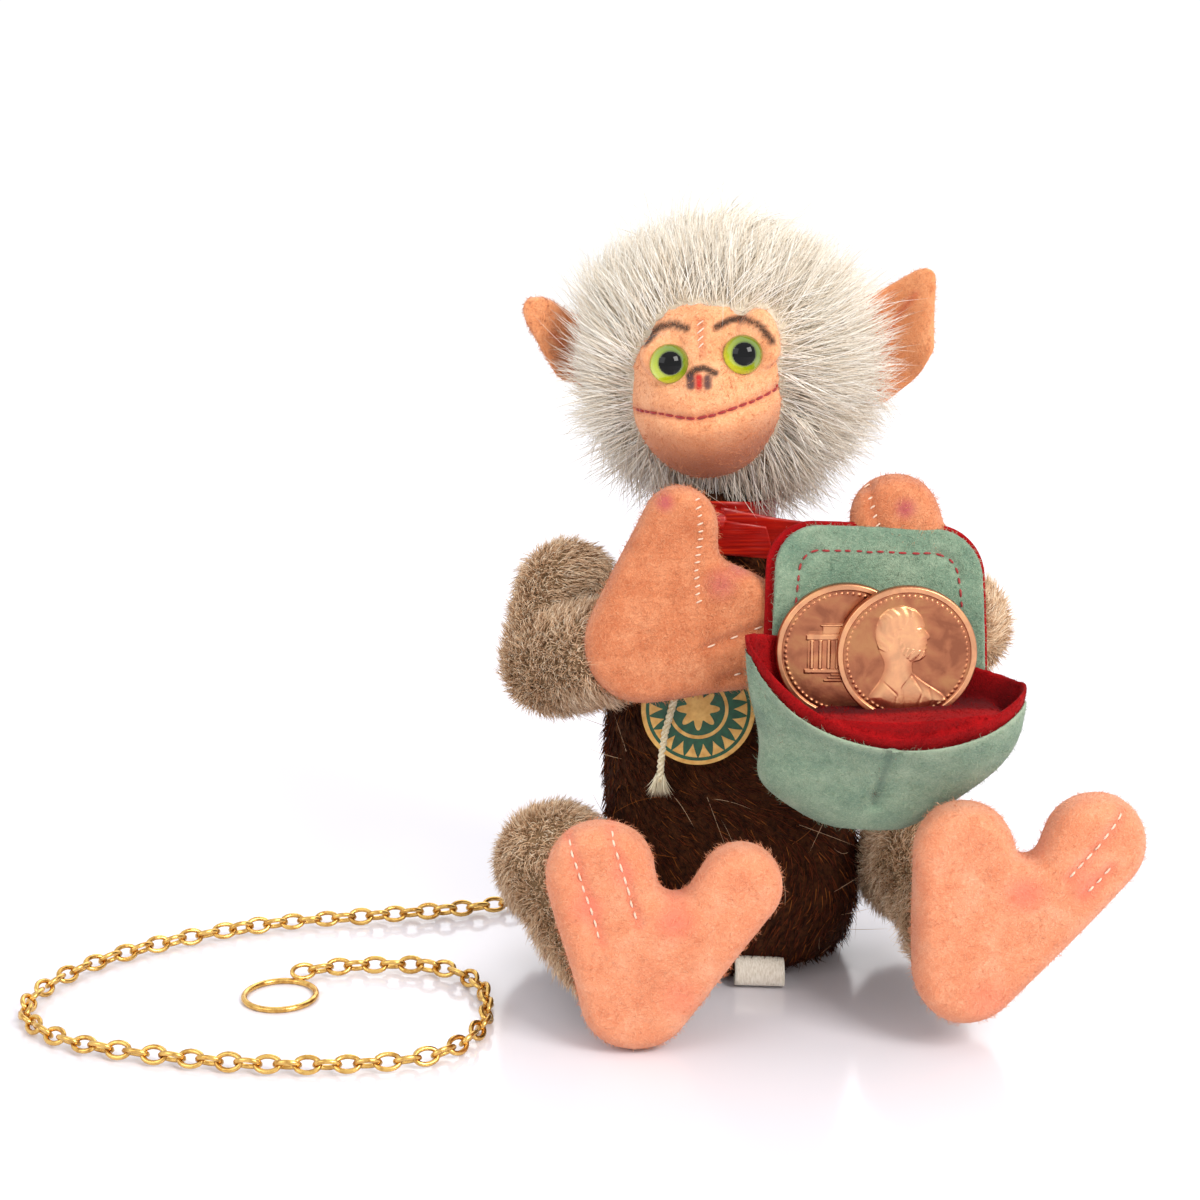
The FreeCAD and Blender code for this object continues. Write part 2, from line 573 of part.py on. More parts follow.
# ---------------------------------------------------------------- chain
CHAIN_ROUTE = [
    (-4.3, 11.2, 66.9), (-4.6, 16.0, 58.0), (-5.2, 20.2, 45.5), (-6.0, 21.8, 32.0), (-7.2, 22.2, 18.0),
    (-9.0, 22.8, 9.6), (-14.4, 23.4, 3.2), (-22.6, 22.8, 1.5), (-36.0, 13.4, 1.5), (-56.0, 8.6, 1.5),
    (-78.0, 4.6, 1.5), (-99.5, -9.5, 1.5), (-107.0, -27.0, 1.5), (-99.0, -38.2, 1.5),
    (-84.0, -43.4, 1.5), (-66.8, -46.8, 1.5), (-50.5, -46.0, 1.5), (-42.5, -42.5, 1.5),
    (-38.2, -34.5, 1.5), (-37.9, -27.0, 1.5), (-38.9, -20.5, 1.5), (-42.3, -15.0, 1.5),
    (-48.0, -11.7, 1.5), (-56.0, -11.7, 1.5), (-63.6, -12.8, 1.5), (-68.0, -15.2, 1.5),
]
node("chain_run", tube("chain_run", CHAIN_ROUTE, size("chain_diameter") / 2))
end_ring = bind(doc.addObject("Part::Torus", "chain_end_ring"), Radius1="end_ring_radius",
                Radius2="end_ring_wire")
node("chain_end_ring", placed(end_ring, (-69.1, -20.8, size("end_ring_wire"))))
neck_ring = bind(doc.addObject("Part::Torus", "chain_neck_ring"), Radius1="small_ring_radius",
                 Radius2="small_ring_wire")
node("chain_neck_ring", placed(neck_ring, (-4.3, 10.4, 68.5), Rotation(X_AXIS, 90)))

# ---------------------------------------------------------------- check and write
doc.recompute()
for thing in doc.Objects:
    if "Invalid" in thing.State or "Error" in thing.State:
        raise RuntimeError(f"{thing.Name} did not build: {thing.State}")
os.makedirs("parts", exist_ok=True)
for label, thing in NODES.items():
    shape = thing.Shape
    if shape.isNull() or not shape.isValid() or not shape.Solids:
        raise RuntimeError(f"{label} is not a sound solid")
    shape.exportStep(f"parts/{label}.step")
print(len(NODES), "nodes")
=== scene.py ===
"""Looks of the jointed mohair monkey: plush, felt, glass eyes, satin, coins and chain, round the CAD frame."""
import math

import bpy
import bmesh
import numpy as np
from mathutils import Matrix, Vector
from mathutils.bvhtree import BVHTree
from mathutils.kdtree import KDTree


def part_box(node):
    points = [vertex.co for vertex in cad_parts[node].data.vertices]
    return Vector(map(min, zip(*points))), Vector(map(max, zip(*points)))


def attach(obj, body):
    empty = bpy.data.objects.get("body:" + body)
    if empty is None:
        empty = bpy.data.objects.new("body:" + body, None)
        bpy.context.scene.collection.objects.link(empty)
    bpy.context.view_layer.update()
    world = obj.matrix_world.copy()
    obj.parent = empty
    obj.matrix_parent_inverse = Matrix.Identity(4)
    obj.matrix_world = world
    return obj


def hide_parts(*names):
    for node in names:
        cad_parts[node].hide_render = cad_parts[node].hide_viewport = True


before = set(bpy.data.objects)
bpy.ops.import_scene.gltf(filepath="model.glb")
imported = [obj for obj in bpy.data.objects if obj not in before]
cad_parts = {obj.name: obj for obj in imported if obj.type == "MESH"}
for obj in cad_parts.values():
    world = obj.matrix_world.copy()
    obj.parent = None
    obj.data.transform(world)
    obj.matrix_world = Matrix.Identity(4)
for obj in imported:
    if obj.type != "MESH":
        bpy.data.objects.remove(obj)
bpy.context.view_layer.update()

MM = 0.001


# ---------------------------------------------------------------- small helpers
def mm(*values):
    """A point given in millimetres, in metres."""
    return np.array(values, float) * MM


def middle(node):
    """Middle of a CAD node's box."""
    low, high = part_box(node)
    return np.array((low + high) / 2)


def half_size(low, high):
    """Half the sides of a box."""
    return (np.array(high) - np.array(low)) / 2


def unit(vectors):
    """Vectors brought to length one."""
    return vectors / np.maximum(np.linalg.norm(vectors, axis=-1, keepdims=True), 1e-12)


def ease(values, start, end):
    """0 before start, 1 after end, and smooth between them."""
    t = np.clip((values - start) / (end - start), 0, 1)
    return t * t * (3 - 2 * t)


def colour(red, green, blue):
    """A display colour from 0 to 255 as linear light."""
    shares = np.array([red, green, blue], float) / 255
    linear = np.where(shares <= 0.04045, shares / 12.92, ((shares + 0.055) / 1.055) ** 2.4)
    return tuple(float(x) for x in linear)


def wander(points, size, seed):
    """A smooth vector field of about unit strength that changes over the given size."""
    rng = np.random.default_rng(seed)
    total = np.zeros_like(points)
    for _ in range(5):
        wave = rng.normal(size=(3, 3)) / size
        total += np.sin(points @ wave + rng.uniform(0, 2 * math.pi, 3))
    return total / 2.5


def add_object(name, mesh):
    """A new object of the scene."""
    thing = bpy.data.objects.new(name, mesh)
    bpy.context.scene.collection.objects.link(thing)
    return thing


def mesh_of(name, vertices, faces, smooth=True):
    """A mesh from points and faces that share them."""
    mesh = bpy.data.meshes.new(name)
    mesh.from_pydata([tuple(v) for v in vertices], [], [tuple(int(i) for i in f) for f in faces])
    mesh.polygons.foreach_set("use_smooth", [smooth] * len(mesh.polygons))
    mesh.update()
    return mesh


def points_of(mesh):
    """A mesh's points as an array."""
    points = np.empty(len(mesh.vertices) * 3, np.float32)
    mesh.vertices.foreach_get("co", points)
    return points.reshape(-1, 3).astype(float)


def normals_of(mesh):
    """A mesh's point normals as an array."""
    normals = np.empty(len(mesh.vertices) * 3, np.float32)
    mesh.vertex_normals.foreach_get("vector", normals)
    return normals.reshape(-1, 3).astype(float)


def move_points(mesh, points):
    """Puts a mesh's points in new places."""
    mesh.vertices.foreach_set("co", points.astype(np.float32).ravel())
    mesh.update()


def store_colours(mesh, colours):
    """Writes a colour with its strength on every point, as the attribute that painted materials read."""
    paint = mesh.attributes.new("paint", "FLOAT_COLOR", "POINT")
    paint.data.foreach_set("color", colours.astype(np.float32).ravel())


def settle(thing):
    """Applies an object's modifiers to its mesh."""
    bpy.context.view_layer.update()
    mesh = bpy.data.meshes.new_from_object(thing.evaluated_get(bpy.context.evaluated_depsgraph_get()))
    thing.modifiers.clear()
    thing.data = mesh
    mesh.polygons.foreach_set("use_smooth", [True] * len(mesh.polygons))
    mesh.update()
    return thing


def run_along(line):
    """Distance covered at each point of a line."""
    return np.concatenate([[0], np.cumsum(np.linalg.norm(np.diff(line, axis=0), axis=1))])


def places_at(marks, run, line):
    """Places on a line at some distances along it."""
    return np.stack([np.interp(marks, run, line[:, k]) for k in range(line.shape[1])], axis=-1)


def tube_faces(rings, around, start=0):
    """Faces of a tube with closed ends, through rings of points that begin at one index."""
    walls = [(start + i * around + j, start + i * around + (j + 1) % around,
              start + (i + 1) * around + (j + 1) % around, start + (i + 1) * around + j)
             for i in range(rings - 1) for j in range(around)]
    ends = [tuple(start + i * around + j for j in range(around)) for i in (0, rings - 1)]
    return walls + ends


def tree_of(thing):
    """A search tree over an object's surface."""
    return BVHTree.FromPolygons([tuple(v.co) for v in thing.data.vertices],
                                [tuple(p.vertices) for p in thing.data.polygons])


def dress(thing, material):
    """Gives a kept CAD node its only material."""
    thing.data.materials.clear()
    thing.data.materials.append(material)


def finish_piece(thing, body, replaced=(), material=None):
    """Gives a piece its material and its body, and hides the CAD nodes it stands for."""
    if material is not None:
        thing.data.materials.append(material)
    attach(thing, body)
    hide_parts(*replaced)
    return thing


# ---------------------------------------------------------------- materials
class Shader:
    """A procedural material built node by node round one Principled shader."""

    def __init__(self, name, base, roughness, **sockets):
        self.material = bpy.data.materials.new(name)
        self.material.use_nodes = True
        self.nodes = self.material.node_tree.nodes
        self.links = self.material.node_tree.links
        self.main = self.nodes["Principled BSDF"]
        self.main.inputs["Base Color"].default_value = (*base, 1)
        self.main.inputs["Roughness"].default_value = roughness
        for socket, value in sockets.items():
            self.main.inputs[socket.replace("_", " ")].default_value = value
        self.place = None

    def noise(self, scale, detail=4.0, stretch=None, distortion=0.0):
        """Noise over the piece's own coordinates, in features per metre."""
        if self.place is None:
            self.place = self.nodes.new("ShaderNodeTexCoord").outputs["Object"]
        source = self.place
        if stretch is not None:
            mapping = self.nodes.new("ShaderNodeMapping")
            mapping.inputs["Scale"].default_value = stretch
            self.links.new(source, mapping.inputs["Vector"])
            source = mapping.outputs["Vector"]
        noise = self.nodes.new("ShaderNodeTexNoise")
        noise.inputs["Scale"].default_value = scale
        noise.inputs["Detail"].default_value = detail
        noise.inputs["Distortion"].default_value = distortion
        self.links.new(source, noise.inputs["Vector"])
        return noise.outputs["Fac"]

    def ramp(self, factor, stops):
        """Colours spread over a factor; stops are (place, colour)."""
        ramp = self.nodes.new("ShaderNodeValToRGB")
        bar = ramp.color_ramp
        while len(bar.elements) < len(stops):
            bar.elements.new(0.5)
        for element, (place, shade) in zip(bar.elements, stops):
            element.position = place
            element.color = (*shade, 1)
        self.links.new(factor, ramp.inputs["Fac"])
        return ramp.outputs["Color"]

    def two_tone(self, factor, dark, light):
        """A ramp from a dark to a light colour."""
        return self.ramp(factor, [(0.3, dark), (0.7, light)])

    def mix(self, factor, first, second):
        """Two colours mixed; the factor is a number or an output."""
        mix = self.nodes.new("ShaderNodeMix")
        mix.data_type = "RGBA"
        if isinstance(factor, float):
            mix.inputs[0].default_value = factor
        else:
            self.links.new(factor, mix.inputs[0])
        for socket, source in ((mix.inputs[6], first), (mix.inputs[7], second)):
            if isinstance(source, tuple):
                socket.default_value = (*source, 1)
            else:
                self.links.new(source, socket)
        return mix.outputs[2]

    def attribute(self, name):
        """A colour and a strength stored on the mesh's points."""
        node = self.nodes.new("ShaderNodeAttribute")
        node.attribute_name = name
        return node.outputs["Color"], node.outputs["Alpha"], node.outputs["Fac"]

    def paint(self, shade):
        """Gives the material a colour that varies."""
        self.links.new(shade, self.main.inputs["Base Color"])

    def rough(self, factor, low, high):
        """Spreads the roughness between two values."""
        spread = self.nodes.new("ShaderNodeMapRange")
        spread.inputs["To Min"].default_value = low
        spread.inputs["To Max"].default_value = high
        self.links.new(factor, spread.inputs["Value"])
        self.links.new(spread.outputs["Result"], self.main.inputs["Roughness"])

    def bump(self, height, depth, strength=1.0):
        """Adds relief of a depth in metres, over any relief already there."""
        bump = self.nodes.new("ShaderNodeBump")
        bump.inputs["Distance"].default_value = depth
        bump.inputs["Strength"].default_value = strength
        if self.main.inputs["Normal"].is_linked:
            self.links.new(self.main.inputs["Normal"].links[0].from_socket, bump.inputs["Normal"])
        self.links.new(height, bump.inputs["Height"])
        self.links.new(bump.outputs["Normal"], self.main.inputs["Normal"])


def darker(shade, share):
    """A colour with less light in it."""
    return tuple(c * share for c in shade)


def felt(name, base, deep, light, painted=False, sheen=0.2):
    """Pressed wool: blotches, curled fibres and a soft sheen."""
    shader = Shader(name, base, 0.95, Sheen_Weight=sheen, Sheen_Roughness=0.6, Specular_IOR_Level=0.1)
    blotches = shader.ramp(shader.noise(260, 3), [(0.22, deep), (0.5, base), (0.8, light)])
    fibres = shader.noise(2600, 6, distortion=1.8)
    shade = shader.mix(0.45, blotches, shader.ramp(fibres, [(0.35, deep), (0.52, base), (0.66, light)]))
    if painted:
        ink, strength, _ = shader.attribute("paint")
        shade = shader.mix(strength, shade, ink)
    shader.paint(shade)
    shader.bump(fibres, 0.00028, 0.8)
    shader.bump(shader.noise(700, 3), 0.0003, 0.5)
    return shader.material


def plain_hair(name, shade, roughness=0.62, shine=0.25):
    """One strand colour; the shades of a coat are several of these."""
    return Shader(name, shade, roughness, Specular_IOR_Level=shine).material


def backing(name, dark, light):
    """Woven ground of a mohair plush, seen between the strands."""
    shader = Shader(name, dark, 0.95, Specular_IOR_Level=0.1)
    cloth = shader.noise(1500, 5, distortion=0.6)
    shader.paint(shader.two_tone(cloth, dark, light))
    shader.bump(cloth, 0.0004)
    return shader.material


def metal(name, base, deep, roughness, scale=900):
    """Metal with worn and tarnished patches."""
    shader = Shader(name, base, roughness, Metallic=1.0)
    wear = shader.noise(scale, 5)
    shader.paint(shader.ramp(wear, [(0.3, deep), (0.55, base)]))
    shader.rough(shader.noise(scale * 0.6, 4), roughness * 0.7, roughness * 1.5)
    shader.bump(shader.noise(scale * 4, 3), 0.00003, 0.5)
    return shader.material


PEACH = colour(202, 122, 80)
PEACH_DEEP = colour(172, 90, 52)
PEACH_LIGHT = colour(222, 154, 112)
FOOT = colour(222, 142, 102)
FOOT_DEEP = colour(206, 116, 78)
FOOT_LIGHT = colour(236, 172, 136)
SAGE = colour(118, 142, 118)
SAGE_DEEP = colour(84, 114, 96)
SAGE_LIGHT = colour(156, 172, 146)
CRIMSON = colour(150, 8, 12)
CRIMSON_DEEP = colour(108, 3, 7)
CRIMSON_LIGHT = colour(176, 14, 20)
THREAD_RED = colour(160, 14, 12)
THREAD_CREAM = colour(240, 206, 180)
WHITE_HAIR = [colour(*c) for c in ((244, 236, 222), (232, 220, 202), (214, 198, 176), (250, 246, 238))]
TAUPE_HAIR = [colour(*c) for c in ((222, 188, 154), (200, 164, 130), (238, 212, 180), (160, 122, 92),
                                   (246, 228, 204))]
BROWN_HAIR = [colour(*c) for c in ((84, 34, 17), (60, 23, 12), (110, 52, 24), (150, 88, 38), (44, 17, 9))]


# ---------------------------------------------------------------- forms taken from the CAD solids
def joined_nodes(nodes):
    """Several CAD nodes' meshes as one."""
    build = bmesh.new()
    for node in nodes:
        build.from_mesh(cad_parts[node].data)
    mesh = bpy.data.meshes.new("joined")
    build.to_mesh(mesh)
    build.free()
    return mesh


def largest_shell(mesh):
    """Keeps a mesh's largest connected part, without the cavities inside it."""
    ends = np.empty(len(mesh.edges) * 2, np.int32)
    mesh.edges.foreach_get("vertices", ends)
    first, second = ends.reshape(-1, 2).T
    label = np.arange(len(mesh.vertices))
    while True:
        lowest = label.copy()
        np.minimum.at(lowest, first, label[second])
        np.minimum.at(lowest, second, label[first])
        lowest = lowest[lowest]
        if np.array_equal(lowest, label):
            break
        label = lowest
    names, counts = np.unique(label, return_counts=True)
    keep = names[np.argmax(counts)]
    build = bmesh.new()
    build.from_mesh(mesh)
    build.verts.ensure_lookup_table()
    spare = [build.verts[i] for i in np.flatnonzero(label != keep)]
    bmesh.ops.delete(build, geom=spare, context="VERTS")
    build.to_mesh(mesh)
    build.free()
    return mesh


def melt(thing, voxel, smoothing):
    """Turns an object into one soft skin of even faces."""
    remesh = thing.modifiers.new("voxels", "REMESH")
    remesh.mode = "VOXEL"
    remesh.voxel_size = voxel
    thing.modifiers.new("smooth", "SMOOTH").iterations = smoothing
    return settle(thing)


def soft_form(name, nodes, voxel, smoothing, shell=False):
    """CAD solids melted into one soft skin; a shell keeps its inner side too."""
    thing = melt(add_object(name, joined_nodes(nodes)), voxel, smoothing)
    if not shell:
        largest_shell(thing.data)
    return thing


def swell(thing, height, size, seed):
    """Stuffed unevenness: low lumps over the whole skin."""
    points = points_of(thing.data)
    lumps = wander(points, size, seed)[:, :1]
    move_points(thing.data, points + normals_of(thing.data) * lumps * height)


# ---------------------------------------------------------------- strands
STRAND_FLOOR = 0.1 * MM      # strands that meet the floor lie on it


class Coat:
    """Roots spread evenly over a skin, from which strands grow."""

    def __init__(self, mesh, count, seed, keep=None):
        self.rng = np.random.default_rng(seed)
        mesh.calc_loop_triangles()
        corners = np.empty(len(mesh.loop_triangles) * 3, np.int32)
        mesh.loop_triangles.foreach_get("vertices", corners)
        corners = corners.reshape(-1, 3)
        points, normals = points_of(mesh), normals_of(mesh)
        a, b, c = (points[corners[:, k]] for k in range(3))
        areas = np.linalg.norm(np.cross(b - a, c - a), axis=1)
        chosen = self.rng.choice(len(corners), count, p=areas / areas.sum())
        u, v = self.rng.random((2, count, 1))
        over = u + v > 1
        u, v = np.where(over, 1 - u, u), np.where(over, 1 - v, v)
        self.roots = a[chosen] * (1 - u - v) + b[chosen] * u + c[chosen] * v
        picked = corners[chosen]
        self.normals = unit(normals[picked[:, 0]] * (1 - u - v) + normals[picked[:, 1]] * u
                            + normals[picked[:, 2]] * v)
        if keep is not None:
            kept = keep(self.roots)
            self.roots, self.normals = self.roots[kept], self.normals[kept]

    def flat(self, vectors):
        """Vectors laid along the skin."""
        along = vectors - self.normals * np.sum(vectors * self.normals, axis=1, keepdims=True)
        return unit(along)

    def clumped(self, tips, share, every=28):
        """Tips drawn towards one leader in so many, so that the strands stand in locks."""
        leaders = np.arange(0, len(self.roots), every)
        tree = KDTree(len(leaders))
        for index, leader in enumerate(leaders):
            tree.insert(self.roots[leader], index)
        tree.balance()
        nearest = np.array([leaders[tree.find(root)[1]] for root in self.roots])
        return tips * (1 - share) + tips[nearest] * share

    def grow(self, name, length, width, stand, flow, bend=0.4, jitter=0.25, spread=0.35, segments=2,
             shades=(), odds=None, share=0.0, droop=(0, 0, 0)):
        """Tapered strands: stand is how upright they are, flow the way they are combed."""
        count = len(self.roots)
        lengths = length * (1 + spread * self.rng.uniform(-1, 1, (count, 1)))
        flow = self.flat(flow)
        loose = self.rng.normal(size=(count, 3)) * jitter
        start = unit(self.normals * stand + flow * (1 - stand) + loose)
        later = unit(start * (1 - bend) + flow * bend + np.array(droop) + loose * 0.5)
        if share:
            start, later = (unit(self.clumped(way, share)) for way in (start, later))
        spine = [self.roots - self.normals * width]
        for step in range(segments):
            turn = step / max(segments - 1, 1)
            spine.append(spine[-1] + unit(start * (1 - turn) + later * turn) * lengths / segments)
        side = unit(np.cross(start, self.normals + 0.3 * flow + 0.01))
        other = np.cross(start, side)
        rings = []
        for step in range(segments):
            radius = width * (1 - step / segments) ** 0.6
            for corner in range(3):
                angle = 2 * math.pi * corner / 3
                rings.append(spine[step] + radius * (side * math.cos(angle) + other * math.sin(angle)))
        rings.append(spine[-1])
        points = np.stack(rings, axis=1)
        points[:, :, 2] = np.maximum(points[:, :, 2], STRAND_FLOOR)
        per = points.shape[1]
        faces = []
        for step in range(segments - 1):
            for corner in range(3):
                low, near = 3 * step + corner, 3 * step + (corner + 1) % 3
                faces += [(low, near, near + 3), (low, near + 3, low + 3)]
        last = 3 * (segments - 1)
        faces += [(last + corner, last + (corner + 1) % 3, per - 1) for corner in range(3)]
        faces = np.array(faces)
        triangles = (faces[None] + per * np.arange(count)[:, None, None]).reshape(-1, 3)
        odds = odds or [1] * len(shades)
        slots = self.rng.choice(len(shades), count, p=np.array(odds) / sum(odds))
        mesh = bpy.data.meshes.new(name)
        mesh.vertices.add(count * per)
        mesh.loops.add(len(triangles) * 3)
        mesh.polygons.add(len(triangles))
        mesh.vertices.foreach_set("co", points.astype(np.float32).ravel())
        mesh.loops.foreach_set("vertex_index", triangles.astype(np.int32).ravel())
        mesh.polygons.foreach_set("loop_start", np.arange(0, len(triangles) * 3, 3, dtype=np.int32))
        for shade in shades:
            mesh.materials.append(shade)
        mesh.polygons.foreach_set("material_index", np.repeat(slots, len(faces)).astype(np.int32))
        mesh.polygons.foreach_set("use_smooth", [True] * len(triangles))
        mesh.update(calc_edges=True)
        return add_object(name, mesh)


# ---------------------------------------------------------------- camera, floor and light
CAMERA_PLACE = mm(-21.6, -318, 131)
CAMERA_DIP = 13.3            # degrees below level
LENS, SENSOR_WIDTH = 64.5, 36
scene = bpy.context.scene
camera_data = bpy.data.cameras.new("camera")
camera_data.sensor_width = SENSOR_WIDTH
camera_data.lens = LENS
camera_data.clip_start = 0.01
camera = bpy.data.objects.new("camera", camera_data)
camera.location = CAMERA_PLACE
camera.rotation_euler = (math.radians(90 - CAMERA_DIP), 0, 0)
scene.collection.objects.link(camera)
scene.camera = camera
scene.view_settings.view_transform = "Standard"

FLOOR_RINGS = [0.01, 0.15, 0.3, 0.5, 0.8, 1.2, 2.0, 6.0]
FLOOR_SIDES = 64
NEAR_RADIUS, FAR_RADIUS = 0.3, 1.1
# Painted shade: the floor is painted darker and faintly lavender near the toy, fading to near white further
# out.
FLOOR_SHADED_NEAR = colour(226, 223, 230)
FLOOR_FAR = colour(253, 253, 253)
angles = [2 * math.pi * k / FLOOR_SIDES for k in range(FLOOR_SIDES)]
floor_points = [(math.cos(a) * radius, math.sin(a) * radius, 0) for radius in FLOOR_RINGS for a in angles]
floor_faces = [tuple(range(FLOOR_SIDES))]
for ring in range(len(FLOOR_RINGS) - 1):
    for k in range(FLOOR_SIDES):
        here, after = ring * FLOOR_SIDES + k, ring * FLOOR_SIDES + (k + 1) % FLOOR_SIDES
        floor_faces.append((here + FLOOR_SIDES, after + FLOOR_SIDES, after, here))
floor = add_object("floor", mesh_of("floor", floor_points, floor_faces))
far_share = ease(np.linalg.norm(points_of(floor.data), axis=1), NEAR_RADIUS, FAR_RADIUS)
store_colours(floor.data, np.repeat(far_share[:, None], 4, axis=1))
gloss = Shader("floor_gloss", FLOOR_SHADED_NEAR, 0.16, Specular_IOR_Level=0.5)
gloss.paint(gloss.mix(gloss.attribute("paint")[1], FLOOR_SHADED_NEAR, FLOOR_FAR))
gloss.rough(gloss.noise(40, 2), 0.1, 0.18)
floor.data.materials.append(gloss.material)

SKY_STRENGTH = 1.06
world = bpy.data.worlds.new("studio")
scene.world = world
world.use_nodes = True
world.node_tree.nodes["Background"].inputs["Color"].default_value = (1, 1, 1, 1)
world.node_tree.nodes["Background"].inputs["Strength"].default_value = SKY_STRENGTH


LAMP_AIM = (0, 0, 0.06)


def lamp(name, place, size, watts, tint=(1, 1, 1)):
    """A soft square light that faces the toy."""
    data = bpy.data.lights.new(name, "AREA")
    data.size = size
    data.energy = watts
    data.color = tint
    light = bpy.data.objects.new(name, data)
    light.location = place
    light.rotation_euler = (Vector(LAMP_AIM) - Vector(place)).to_track_quat("-Z", "Y").to_euler()
    scene.collection.objects.link(light)


lamp("key", (0.42, -0.5, 0.52), 0.32, 5.0, (1, 0.97, 0.93))
lamp("fill", (-0.5, -0.45, 0.4), 0.4, 1.1, (0.97, 0.98, 1))
lamp("back", (0.1, 0.6, 0.55), 0.6, 1.8)

# ---------------------------------------------------------------- leash chain
CHAIN_ROUTE = [            # nape, down the back, round on the floor and back to the ring; millimetres
    (-4.3, 11.2, 66.9), (-4.6, 16, 58), (-5.2, 20.2, 45.5), (-6, 21.8, 32), (-7.2, 22.2, 18), (-9, 22.8, 9.6),
    (-14.4, 23.4, 3.2), (-22.6, 22.8, 1.5), (-36, 13.4, 1.5), (-56, 8.6, 1.5), (-78, 4.6, 1.5),
    (-99.5, -9.5, 1.5), (-107, -27, 1.5), (-99, -38.2, 1.5), (-84, -43.4, 1.5), (-66.8, -46.8, 1.5),
    (-50.5, -46, 1.5), (-42.5, -42.5, 1.5), (-38.2, -34.5, 1.5), (-37.9, -27, 1.5), (-38.9, -20.5, 1.5),
    (-42.3, -15, 1.5), (-48, -11.7, 1.5), (-56, -11.7, 1.5), (-63.6, -12.8, 1.5), (-68, -15.2, 1.5),
]
LINK_PITCH = 2.74 * MM
LINK_HALF_LONG = 1.72 * MM
LINK_HALF_WIDE = 1.12 * MM
LINK_WIRE = 0.37 * MM


def spline_points(control):
    """Points along a smooth NURBS line through the control points."""
    curve = bpy.data.curves.new("route", "CURVE")
    curve.dimensions = "3D"
    curve.resolution_u = 24
    spline = curve.splines.new("NURBS")
    spline.points.add(len(control) - 1)
    for point, place in zip(spline.points, control):
        point.co = (*mm(*place), 1)
    spline.order_u = 3
    spline.use_endpoint_u = True
    guide = add_object("route", curve)
    bpy.context.view_layer.update()
    line = points_of(bpy.data.meshes.new_from_object(guide))
    bpy.data.objects.remove(guide)
    return line


def even_steps(line, step):
    """Places and directions at even distances along a line."""
    run = run_along(line)
    marks = np.arange(step / 2, run[-1], step)
    ways = places_at(marks + step / 3, run, line) - places_at(marks - step / 3, run, line)
    return places_at(marks, run, line), unit(ways), run[-1]


def link_shape(around=18, section=8):
    """One oval wire link in its own plane, long along X."""
    points, faces = [], []
    for i in range(around):
        angle = 2 * math.pi * i / around
        centre = np.array([LINK_HALF_LONG * math.cos(angle), LINK_HALF_WIDE * math.sin(angle), 0])
        outward = unit(np.array([math.cos(angle) / LINK_HALF_LONG, math.sin(angle) / LINK_HALF_WIDE, 0]))
        for j in range(section):
            turn = 2 * math.pi * j / section
            upward = np.array([0, 0, 1]) * math.sin(turn)
            points.append(centre + LINK_WIRE * (outward * math.cos(turn) + upward))
    for i in range(around):
        for j in range(section):
            after, over = (i + 1) % around, (j + 1) % section
            faces.append((i * section + j, after * section + j, after * section + over, i * section + over))
    return np.array(points), np.array(faces)


route = spline_points(CHAIN_ROUTE)
places, ways, chain_length = even_steps(route, LINK_PITCH)
shape, shape_faces = link_shape()
rng = np.random.default_rng(7)
chain_points, chain_faces = [], []
for index, (place, way) in enumerate(zip(places, ways)):
    level = unit(np.cross(np.array([0, 0, 1.0]) if abs(way[2]) < 0.9 else np.array([0, 1.0, 0]), way))
    rise = np.cross(way, level)
    roll = math.radians(45 if index % 2 else -45) + rng.normal() * 0.12
    across = level * math.cos(roll) + rise * math.sin(roll)
    up = np.cross(way, across)
    chain_faces.append(shape_faces + len(shape) * index)
    chain_points.append(place + shape @ np.stack([way, across, up]))
chain = add_object("leash_chain_links", mesh_of("leash_chain_links", np.concatenate(chain_points),
                                                np.concatenate(chain_faces)))
GILT = metal("gilt", colour(224, 182, 104), colour(176, 126, 58), 0.22)
finish_piece(chain, "torso", ["chain_run"], material=GILT)
for node in ("chain_end_ring", "chain_neck_ring"):
    dress(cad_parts[node], GILT)


# ---------------------------------------------------------------- plush body and limbs
GROUND_BROWN = backing("ground_brown", colour(38, 20, 13), colour(82, 46, 24))
GROUND_TAUPE = backing("ground_taupe", colour(112, 88, 64), colour(150, 124, 94))
GROUND_WHITE = backing("ground_white", colour(186, 172, 150), colour(212, 200, 180))
BROWN_STRANDS = [plain_hair(f"brown_hair_{i}", shade, 0.6, 0.12) for i, shade in enumerate(BROWN_HAIR)]
TAUPE_STRANDS = [plain_hair(f"taupe_hair_{i}", shade) for i, shade in enumerate(TAUPE_HAIR)]
WHITE_STRANDS = [plain_hair(f"white_hair_{i}", shade, 0.55) for i, shade in enumerate(WHITE_HAIR)]
PILE = 2.5 * MM
PILE_WIDTH = 0.085 * MM


def amount(count):
    """Number of strands, as given."""
    return count


torso = soft_form("torso_plush", ["torso_skin", "torso_stuffing"], 0.6 * MM, 14)
swell(torso, 0.5 * MM, 9 * MM, 3)
torso.data.materials.append(GROUND_BROWN)
finish_piece(torso, "torso", ["torso_skin", "torso_stuffing"])
tag_middle = middle("tag_card")
tag_radius = half_size(*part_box("tag_card"))[0]


def under_tag(points):
    """Nearness to the place where the tag rests, from 0 to 1."""
    away = np.linalg.norm((points - tag_middle)[:, [0, 2]], axis=1)
    return np.where(points[:, 1] < 0, 1 - ease(away, tag_radius * 0.9, tag_radius * 1.25), 0)


def torso_keep(points):
    """The pile is worn away under the tag, and pressed flat on the floor."""
    return (under_tag(points) < 0.5) & (points[:, 2] > 0.6 * MM)


